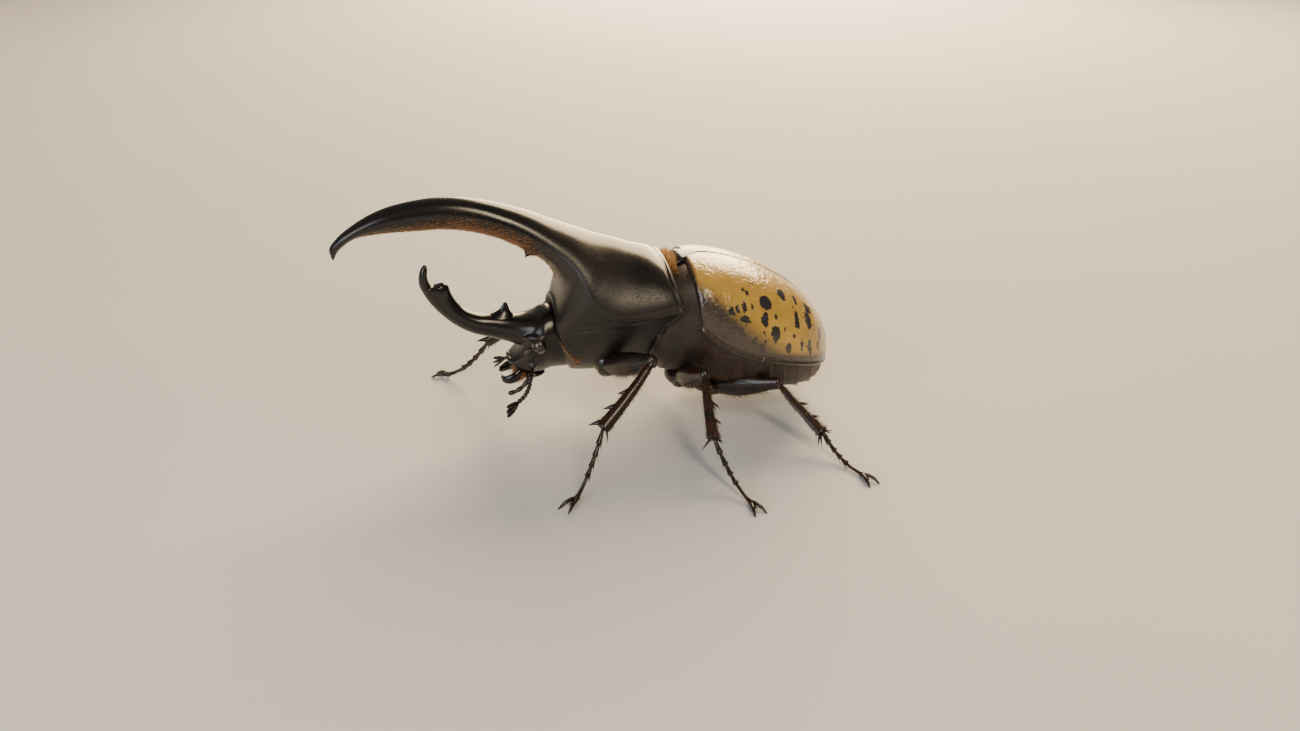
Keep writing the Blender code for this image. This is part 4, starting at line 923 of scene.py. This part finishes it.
def wing_case(side, label):
    """One wing case: a plate with suture and margin beads, shoulder and tip swellings and marks."""
    along = even_ends(230, 0.3)
    grid = wing_case_grid(along, even_ends(132, 0.5))
    normals = roof_normals(grid)
    from_front, from_suture = way_along(grid, 0), way_along(grid, 1)
    from_margin = from_suture[:, -1:] - from_suture
    x, y, z = np.moveaxis(grid, 2, 0)
    rise = ridges(from_suture, SUTURE_EDGE) + ridges(from_margin, MARGIN_EDGE)
    knob = np.hypot(y - SHOULDER_KNOB["y"], (z - SHOULDER_KNOB["z"]) / 1.3)
    rise += SHOULDER_KNOB["height"] * bell(knob, 0, KNOB_SPREAD)
    rise += TIP_KNOB["height"] * bell(np.hypot(x - TIP_KNOB["x"], y - TIP_KNOB["y"]), 0, KNOB_SPREAD)
    front = np.clip(1 - from_front / FRONT_FALL["way"], 0, 1)
    rise -= FRONT_FALL["depth"] * (1 - np.sqrt(np.clip(1 - front ** 2, 0, 1)))
    outer = grid + normals * rise[..., None]
    inner = grid - normals * ELYTRA["thickness"]
    inner[0] = outer[0] - normals[0] * 0.4
    mark = mark_distance(from_front, from_suture, all_marks(side))
    share = from_suture / np.maximum(from_suture[:, -1:], 1e-6)
    # Painted shade: darker over the shoulder, in a band above the margin, at the front edge under the shield
    # and along the suture.
    painted_shade = np.maximum.reduce([
        smooth_step(0.36, 0.66, share - 0.75 * along[:, None]) * 0.85,   # shoulder
        smooth_step(4.6, 1.8, from_margin) * 0.95,
        smooth_step(1.6, 0.2, from_front),
        smooth_step(0.7, 0.1, from_suture) * 0.8])
    way = np.stack([from_front, from_suture, np.zeros_like(x)], axis=2)
    outer, inner = (mirrored(sheet + (SUTURE_GAP, 0, 0), side) for sheet in (outer, inner))
    form = plate(outer, inner, {"mark": mark, "painted_shade": painted_shade, "way": way})
    piece("wing_case_" + label, form, OCHRE, "elytra_ochre", "elytron_" + label)


def scutellum():
    """Three-cornered plate: superelliptic rings that narrow to a point, with a raised edge."""
    s = SCUTELLUM
    t = np.linspace(0, 1, 70)
    width = s["half_width"] * np.sqrt(np.clip(1 - t ** 1.6, 0.0004, 1)) + 0.1
    y = s["front_y"] + (s["tip_y"] - s["front_y"]) * t
    z = s["z"] - 0.1 * t + 0.1 * np.sin(HALF_TURN * t) - 1.2 * (1 - smooth_step(0, 0.4, t))
    top = np.stack([y, z], axis=1)
    low = np.stack([y, np.full_like(y, s["z"] - s["depth"])], axis=1)
    rings = arches(top, (top + low) / 2, low, width, round_angles(72), 2.6)
    piece("scutellum_plate", loft(rings, {"grain": np.full(rings.shape[:2], 0.3)}), BLACK,
          "cuticle_black", "scutellum")


def belly_place(x, y):
    """Place along the belly counted in plates, whose hind edges are bowed, from the first edge."""
    return (y + BELLY_STEPS["bow"] * x ** 2 - BELLY_STEPS["front_y"]) / BELLY_STEPS["spacing"]


def hind_grid():
    """Rings of the body under the wing cases: their arches moved in, closed below by the belly.

    The belly steps down at each plate's hind edge: a sawtooth of the place along it.
    """
    rows = read_rows(HIND_BODY, even_ends(320, 0.25))
    top, margin, belly = rows[:, 0:2], rows[:, 2:4], rows[:, 4:6]
    roof = arches(top, margin, belly, margin_half_width(rows[:, 2]), ROOF_ANGLES, ELYTRA["squareness"])
    roof = roof - roof_normals(roof) * CORE_GAP
    edge = roof[:, -1]
    floor = arches(top, edge[:, 1:], belly - np.array((0, BELLY_DROP)), edge[:, 0], BELLY_ANGLES,
                   BELLY_SQUARENESS)
    x, y = floor[..., 0], floor[..., 1]
    place = belly_place(x, y)
    saw = np.where(place > 0, place % 1, 0.6)
    lift = BELLY_STEPS["height"] * (saw - 1) * smooth_step(0.0, 0.06, saw)
    way = unit(floor - np.array((0, 1, 0)) * y[..., None] - np.array((0, 0, 20)))
    return np.concatenate([roof, floor + way * lift[..., None]], axis=1)


def hind_body():
    """Hind thorax, abdomen and tail plate as one skin, with its neck in front.

    The neck starts inside the shield's rim, on its leaning hind face, and widens to the body.
    """
    angles = np.concatenate([ROOF_ANGLES, BELLY_ANGLES])
    top_y, top_z, low_y, low_z = HORN_AND_SHIELD[-1][:4]
    neck = []
    for behind, high, low, width in NECK:
        levels = np.array((high, high + 0.6 * (low - high), low))
        y = top_y + (levels - top_z) * (top_y - low_y) / (top_z - low_z) + behind
        points = np.stack([y, levels], axis=1)[:, None]
        neck.append(arches(*points, np.array([width]), angles, NECK_SQUARENESS)[0])
    rings = np.concatenate([np.array(neck), hind_grid()])
    piece("hind_body", loft(rings), BELLY, "body_brown", "hind_thorax", "abdomen", "pygidium")
    return rings


# Legs

def onto_floor(rings):
    """A tube's form, its points held at or above the floor."""
    rings[..., 2] = np.maximum(rings[..., 2], 0.0)
    return loft(rings)


def femur_form(place, side, hip, knee):
    """Coxa, trochanter lobe and thigh: a tube thickest a third of the way, rounded at the knee."""
    shares = np.linspace(-0.04, 1.05, 80)
    path = hip + np.outer(shares, knee - hip)
    radii = np.interp(shares, FEMUR_PLACES, FEMUR_RADII[place])
    radii = np.convolve(np.pad(radii, 6, mode="edge"), np.ones(13) / 13, "valid")
    radii = radii * rounded(np.linspace(0, 1, 80), 0.06, 0.06)
    keel = 1 + ridges(round_angles(36), KEEL)
    rings = tube_rings(path, radii, 36, THIGH_FLATNESS, (0, 0, 1), keel)
    centre, size = COXA[place]
    c = TROCHANTER
    lobe = hip + np.outer(np.linspace(c["start"], c["end"], 24), knee - hip) - (0, 0, c["drop"])
    lobe = tube(lobe, c["radius"] * rounded(np.linspace(0, 1, 24), 0.4, 0.45), 24)
    return joined([loft(rings), ball(mirrored(centre, side), size, 36, 44), lobe]), rings


def tibia_form(place, knee, ankle):
    """Shin: a four-edged widening tube with teeth or spine rows, an end crown and two spurs."""
    shaft = unit(ankle - knee)
    outer = np.array((0.0, -1.0 if place == "front" else 1.0, -0.35))
    outer = unit(outer - shaft * (outer @ shaft))
    cross = np.cross(shaft, outer)
    shares = np.linspace(-0.07, 1.03, 90)
    path = knee + np.outer(shares, ankle - knee)
    path += np.outer(SHIN_BOW * np.sin(np.clip(shares, 0, 1) * HALF_TURN), -outer)
    radii = np.interp(shares, TIBIA_PLACES, TIBIA_RADII[place])
    radii = radii * (1 - 0.18 * bell(shares, 0.07, 0.05)) * rounded(np.linspace(0, 1, 90), 0.07, 0.03)
    edges = 1 + SHIN_EDGES * np.cos(4 * round_angles(32))
    rings = tube_rings(path, radii, 32, SHIN_FLATNESS, outer, edges)
    parts = [loft(rings)]

    def at(share):
        return knee + (ankle - knee) * share

    if place == "front":
        for share, size in SHIN_TEETH:
            parts.append(thorn(at(share - 0.03), outer + shaft * 0.55, shaft * 0.35, 3.5 * size,
                               1.15 * size, 14, 16, 0.8))
        parts.append(thorn(at(0.96), -outer + shaft * 0.8, shaft * 0.3 - outer * 0.1, 3.9, 0.5))
        return joined(parts), rings
    spines = [(share, turn, 0.75, 0.15, 3.2, 0.45) for share in SPINE_PLACES for turn in SPINE_TURNS]
    spines += [(0.97, turn, 0.85, 0.1, 3.1, 0.42) for turn in CROWN_TURNS]
    for share, turn, lean, bend, length, radius in spines:
        way = outer * math.cos(turn) + cross * math.sin(turn) + shaft * lean
        parts.append(thorn(at(share), way, shaft * bend, length, radius))
    for turn, length in SPURS:
        parts.append(thorn(at(0.97), -outer + cross * turn + shaft * 0.9, shaft * 0.2, length, 0.5))
    return joined(parts), rings


def tarsus_form(ankle, toe, claw):
    """Five bell-shaped joints, each thin at its root, then two hooked claws and the pad between."""
    span = toe - ankle
    arch = TARSUS_ARCH * np.linalg.norm(span)
    ends = np.concatenate([[0.0], np.cumsum(TARSUS_SHARES)])
    t = np.linspace(0, 1, 26)
    parts, cuffs = [], []
    for first, last in zip(ends, ends[1:]):
        at = first + (last - first) * (t * 1.03 - 0.015)
        path = ankle + np.outer(at, span) - np.outer(4 * at * (1 - at) * arch, (0, 0, 1))
        path[:, 2] = np.maximum(path[:, 2], toe[2])
        shape = 0.45 + 0.5 * t ** 1.5
        if last == ends[-1]:
            shape = 0.42 + 0.18 * t + 0.32 * smooth_step(0.72, 1, t)
        parts.append(onto_floor(tube_rings(path, shape * rounded(t, 0.05, 0.12), 20, 0.9)))
        cuffs.append((path[-3], unit(path[-1] - path[-4])))
    reach = claw - toe
    aside = unit(np.cross(reach, (0, 0, 1.0)))
    t = np.linspace(0, 1, 30)
    rise = CLAW["arch"] * np.sin(HALF_TURN * np.minimum(1, t * 0.9)) - CLAW["drop"] * t
    radii = CLAW["radius"] * np.interp(t, CLAW_PLACES, CLAW_TAPER)
    for turn in (1, -1):
        path = (toe + np.outer(t - CLAW["sunk"], reach) + np.outer(CLAW["spread"] * t ** 0.8, aside * turn)
                + np.outer(rise, (0, 0, 1)))
        parts.append(onto_floor(tube_rings(path, radii)))
    pad = toe + np.outer(np.linspace(-0.1, 0.42, 16), reach) + np.array((0, 0, 0.12))
    parts.append(onto_floor(tube_rings(pad, 0.22 * rounded(np.linspace(0, 1, 16), 0, 0.3), 10)))
    return joined(parts), cuffs[:-1]


def bristles_on(rings, rows, sides, count, length, width, ahead):
    """Bristles scattered on some rows and sides of a tube, leaning towards its end."""
    weight = np.zeros(rings.shape[:2])
    weight[rows, sides] = 1.0
    roots, normal, along, shares = scatter(rings, weight, count)
    ring = np.minimum((shares[:, 0] * len(rings)).astype(int), len(rings) - 1)
    normal = away_from(rings.mean(axis=1)[ring], roots, normal)
    lean = normal + along * ahead + DICE.normal(0, 0.18, (count, 3))
    size = length * (0.6 + 0.7 * DICE.random(count))
    return strands(roots - normal * ROOT_DEPTH, lean, along * 0.35, size, width, shares)


def cuff_bristles(centre, onward):
    """A half ring of bristles under the end of a tarsal joint."""
    count = STRANDS["cuff"]
    turns = DICE.random(count) * 2 * HALF_TURN
    spoke = np.stack([np.cos(turns), np.sin(turns) * 0.4, -np.abs(np.sin(turns)) * 0.8 + 0.2], axis=1)
    spoke = unit(spoke - np.outer(spoke @ onward, onward))
    near = np.tile((0.9, 0.5), (count, 1)) + 0.02 * DICE.random((count, 2))
    return strands(centre + spoke * 0.62, spoke * 0.7 + onward, onward * 0.3, 1.3, 0.045, near)


def legs():
    """Six legs, each femur, tibia and tarsus a piece of its own, and their bristles."""
    for (place, side), points in LEGS.items():
        hip, knee, ankle, toe, claw = [np.array(point, float) for point in points]
        end = f"{place}_{side}"
        thigh, thigh_rings = femur_form(place, 1 if side == "left" else -1, hip, knee)
        shin, shin_rings = tibia_form(place, knee, ankle)
        foot, cuffs = tarsus_form(ankle, toe, claw)
        piece("thigh_" + end, thigh, LEG, "leg_brown", "femur_" + end)
        piece("shin_" + end, shin, LEG, "leg_brown", "tibia_" + end)
        piece("foot_" + end, foot, LEG, "leg_brown", "tarsus_" + end)
        coat = [bristles_on(thigh_rings, slice(14, 64), slice(12, 25), **THIGH_BRISTLES),
                bristles_on(shin_rings, slice(12, 84), slice(None), **SHIN_BRISTLES)]
        bristles = joined(coat + [cuff_bristles(*cuff) for cuff in cuffs])
        bristles.points[:, 2] = np.maximum(bristles.points[:, 2], 0.01)
        piece("bristles_" + end, bristles, BRISTLE, "hair_rust")


# Hair

def horn_brush(grid):
    """Dense, low-lying brush along the underside of the thoracic horn, parted round its teeth."""
    y = grid[..., 1]
    share = np.arange(SHIELD_SIDES) / SHIELD_SIDES
    broad = np.interp(y, (-60, -45, -30, -16), (0.09, 0.12, 0.16, 0.14))
    weight = bell(share[None], 0.5, broad) * smooth_step(-62, -55, y)
    weight = weight * np.maximum(smooth_step(-15.5, -19, y), 0.12 * smooth_step(-9, -14, y))
    c = TOOTH_CLEARING
    from_tooth = np.linalg.norm(np.abs(grid) - c["centre"], axis=2)
    weight = weight * smooth_step(37, 41, grid[..., 2]) * smooth_step(c["bare"], c["full"], from_tooth)
    roots, normal, along, shares = scatter(grid, weight, STRANDS["horn"])
    normal = normal * np.sign(normal[:, 2:3]) * -1
    size = np.interp(roots[:, 1], (-58, -45, -30, -20, -15), (0.6, 0.75, 1.0, 1.1, 0.8))
    size = size * (0.6 + 0.6 * DICE.random(len(roots)))
    lean = normal * 0.6 - along * 0.8 + DICE.normal(0, 0.2, roots.shape)
    form = strands(roots - normal * ROOT_DEPTH, lean, along * -0.2, size, 0.05, shares)
    piece("horn_brush", form, HAIR, "hair_rust")


def neck_hair(rings):
    """Upright fringe behind the shield's rim, longest over the back."""
    weight = smooth_step(7.5, 5.5, np.abs(rings[..., 0])) * (rings[..., 2] > 40)
    weight[3:], weight[0] = 0, 0
    roots, normal, along, shares = scatter(rings, weight, STRANDS["neck"])
    normal = away_from((0, 18, 30), roots, normal)
    lean = normal + along * 0.1 + DICE.normal(0, 0.16, roots.shape)
    size = np.interp(np.abs(roots[:, 0]), (4, 7.5), (3.0, 1.2)) * (0.55 + 0.45 * DICE.random(len(roots)))
    piece("neck_hair", strands(roots, lean, along * 0.15, size, 0.05, shares), STRAW, "hair_rust")


def belly_hair(rings):
    """Short hair on the breast and a row at the hind edge of each belly plate."""
    x, y = rings[..., 0], rings[..., 1]
    under = (np.arange(rings.shape[1]) > len(ROOF_ANGLES) + 2)[None] & (y > 21)
    place = belly_place(x, y)
    row = np.where(place > 0, smooth_step(0.72, 0.85, place % 1), 0)
    weight = under * (smooth_step(36, 31, y) + row * 1.2 + smooth_step(56, 59, y) * 0.8)
    roots, normal, along, shares = scatter(rings, weight, STRANDS["belly"])
    normal = away_from((0, 40, 20), roots, normal)
    lean = normal * 0.6 + along + DICE.normal(0, 0.25, roots.shape)
    size = 1.2 * (0.5 + 0.7 * DICE.random(len(roots)))
    piece("belly_hair", strands(roots, lean, normal * -0.1, size, 0.035, shares), BRISTLE, "hair_rust")


def throat_hair(grid):
    """Fringes round the shield's front edge and long hair about the mouth."""
    x, y, z = np.moveaxis(grid, 2, 0)
    weight = bell(from_head(x, z), 1.08, 0.05) * (y < -7) * smooth_step(29, 24, z)
    count = STRANDS["throat"]
    roots, _, _, shares = scatter(grid, weight, count)
    aim = np.stack([roots[:, 0] * 0.02, np.full(count, -1.0), (roots[:, 2] - 25) * 0.03], axis=1)
    lean = aim + DICE.normal(0, 0.22, roots.shape)
    fringe = strands(roots, lean, (0, 0, -0.15), 1.1 * (0.6 + 0.6 * DICE.random(count)), 0.04, shares)
    count = STRANDS["mouth"]
    side = DICE.random(count) * 2 - 1
    mouth = np.stack([side * 4.2, -21.2 - DICE.random(count) * 1.6 + 0.8 * side ** 2,
                      17.2 - 1.2 * DICE.random(count)], axis=1)
    lean = np.stack([side * 0.5, np.full(count, -1.0), np.full(count, -0.55)], axis=1)
    lean = lean + DICE.normal(0, 0.2, (count, 3))
    near = np.stack([0.5 + side * 0.1, 0.5 + 0.05 * DICE.random(count)], axis=1)
    beard = strands(mouth, lean, (0, 0, -0.2), 2.4 * (0.6 + 0.6 * DICE.random(count)), 0.045, near)
    piece("throat_hair", joined([fringe, beard]), HAIR, "hair_rust")


# Stage

def placed(across, up, back, spot):
    """The place of an object with these three axes, which looks or shines against the third."""
    rows = zip(np.stack([across, up, back], axis=1), spot)
    return Matrix([[*row, at] for row, at in rows] + [[0, 0, 0, 1]])


def pale_floor():
    """Matt backdrop paper: pressed pulp, so the eye gets an even pale grey with faint clouds."""
    made, tree, shader = new_material("pale_paper", {"Roughness": 0.85})
    place = add(tree, "TexCoord", "Object")
    cloud = add(tree, "TexNoise", "Fac", {"Vector": place, "Scale": scale_of(166.7), "Detail": 3.0})
    base = add(tree, "Mix", 2, {0: cloud, 6: "#C6C7C9", 7: "#D0D1D3"}, data_type="RGBA")
    connect(tree, shader, {"Base Color": base})
    mesh = bpy.data.meshes.new("floor")
    corners = [(x * FLOOR_HALF, y * FLOOR_HALF, 0) for x, y in ((-1, -1), (1, -1), (1, 1), (-1, 1))]
    mesh.from_pydata(corners, [], [(0, 1, 2, 3)])
    mesh.materials.append(made)
    floor = linked("floor", mesh)


def soft_light():
    """An even pale world and three soft panels that face the beetle."""
    world = bpy.data.worlds.new("soft_room")
    world.use_nodes = True
    connect(world.node_tree, world.node_tree.nodes["Background"],
            {"Color": WORLD_TONE, "Strength": WORLD_STRENGTH})
    bpy.context.scene.world = world
    for name, spot, width, height, roll, power, tint in PANELS:
        light = bpy.data.lights.new(name, "AREA")
        light.shape = "RECTANGLE"
        light.size, light.size_y = width, height
        light.energy = power
        light.color = colour(tint)[:3]
        lamp = linked(name, light)
        lamp.visible_camera = False
        aim = unit(np.array(spot) - np.array(PANEL_TARGET))
        level = unit(np.cross((0, 0, 1), aim))
        turn = math.radians(roll)
        across = level * math.cos(turn) + np.cross(aim, level) * math.sin(turn)
        lamp.matrix_world = placed(across, np.cross(aim, across), aim, spot)


def camera():
    """The photograph's view: looking down along the beetle's left side from a little ahead."""
    azimuth, pitch = CAMERA["azimuth"], CAMERA["pitch"]
    back = np.array((math.sin(azimuth) * math.cos(pitch), -math.cos(azimuth) * math.cos(pitch),
                     math.sin(pitch)))
    right = unit(np.cross(-back, (0, 0, 1)))
    lens = bpy.data.cameras.new("camera")
    lens.lens, lens.sensor_width, lens.clip_start = CAMERA["lens"], CAMERA["sensor"], CAMERA["nearest"]
    eye = linked("camera", lens)
    eye.matrix_world = placed(right, np.cross(right, -back), back, (np.array(CAMERA["place"]) + SHIFT) * MM)
    bpy.context.scene.camera = eye


camera()
pale_floor()
soft_light()
shield_skin = shield()
head()
mouth()
feelers()
for side, label in SIDES:
    wing_case(side, label)
scutellum()
trunk = hind_body()
legs()
horn_brush(shield_skin)
neck_hair(trunk)
belly_hair(trunk)
throat_hair(shield_skin)
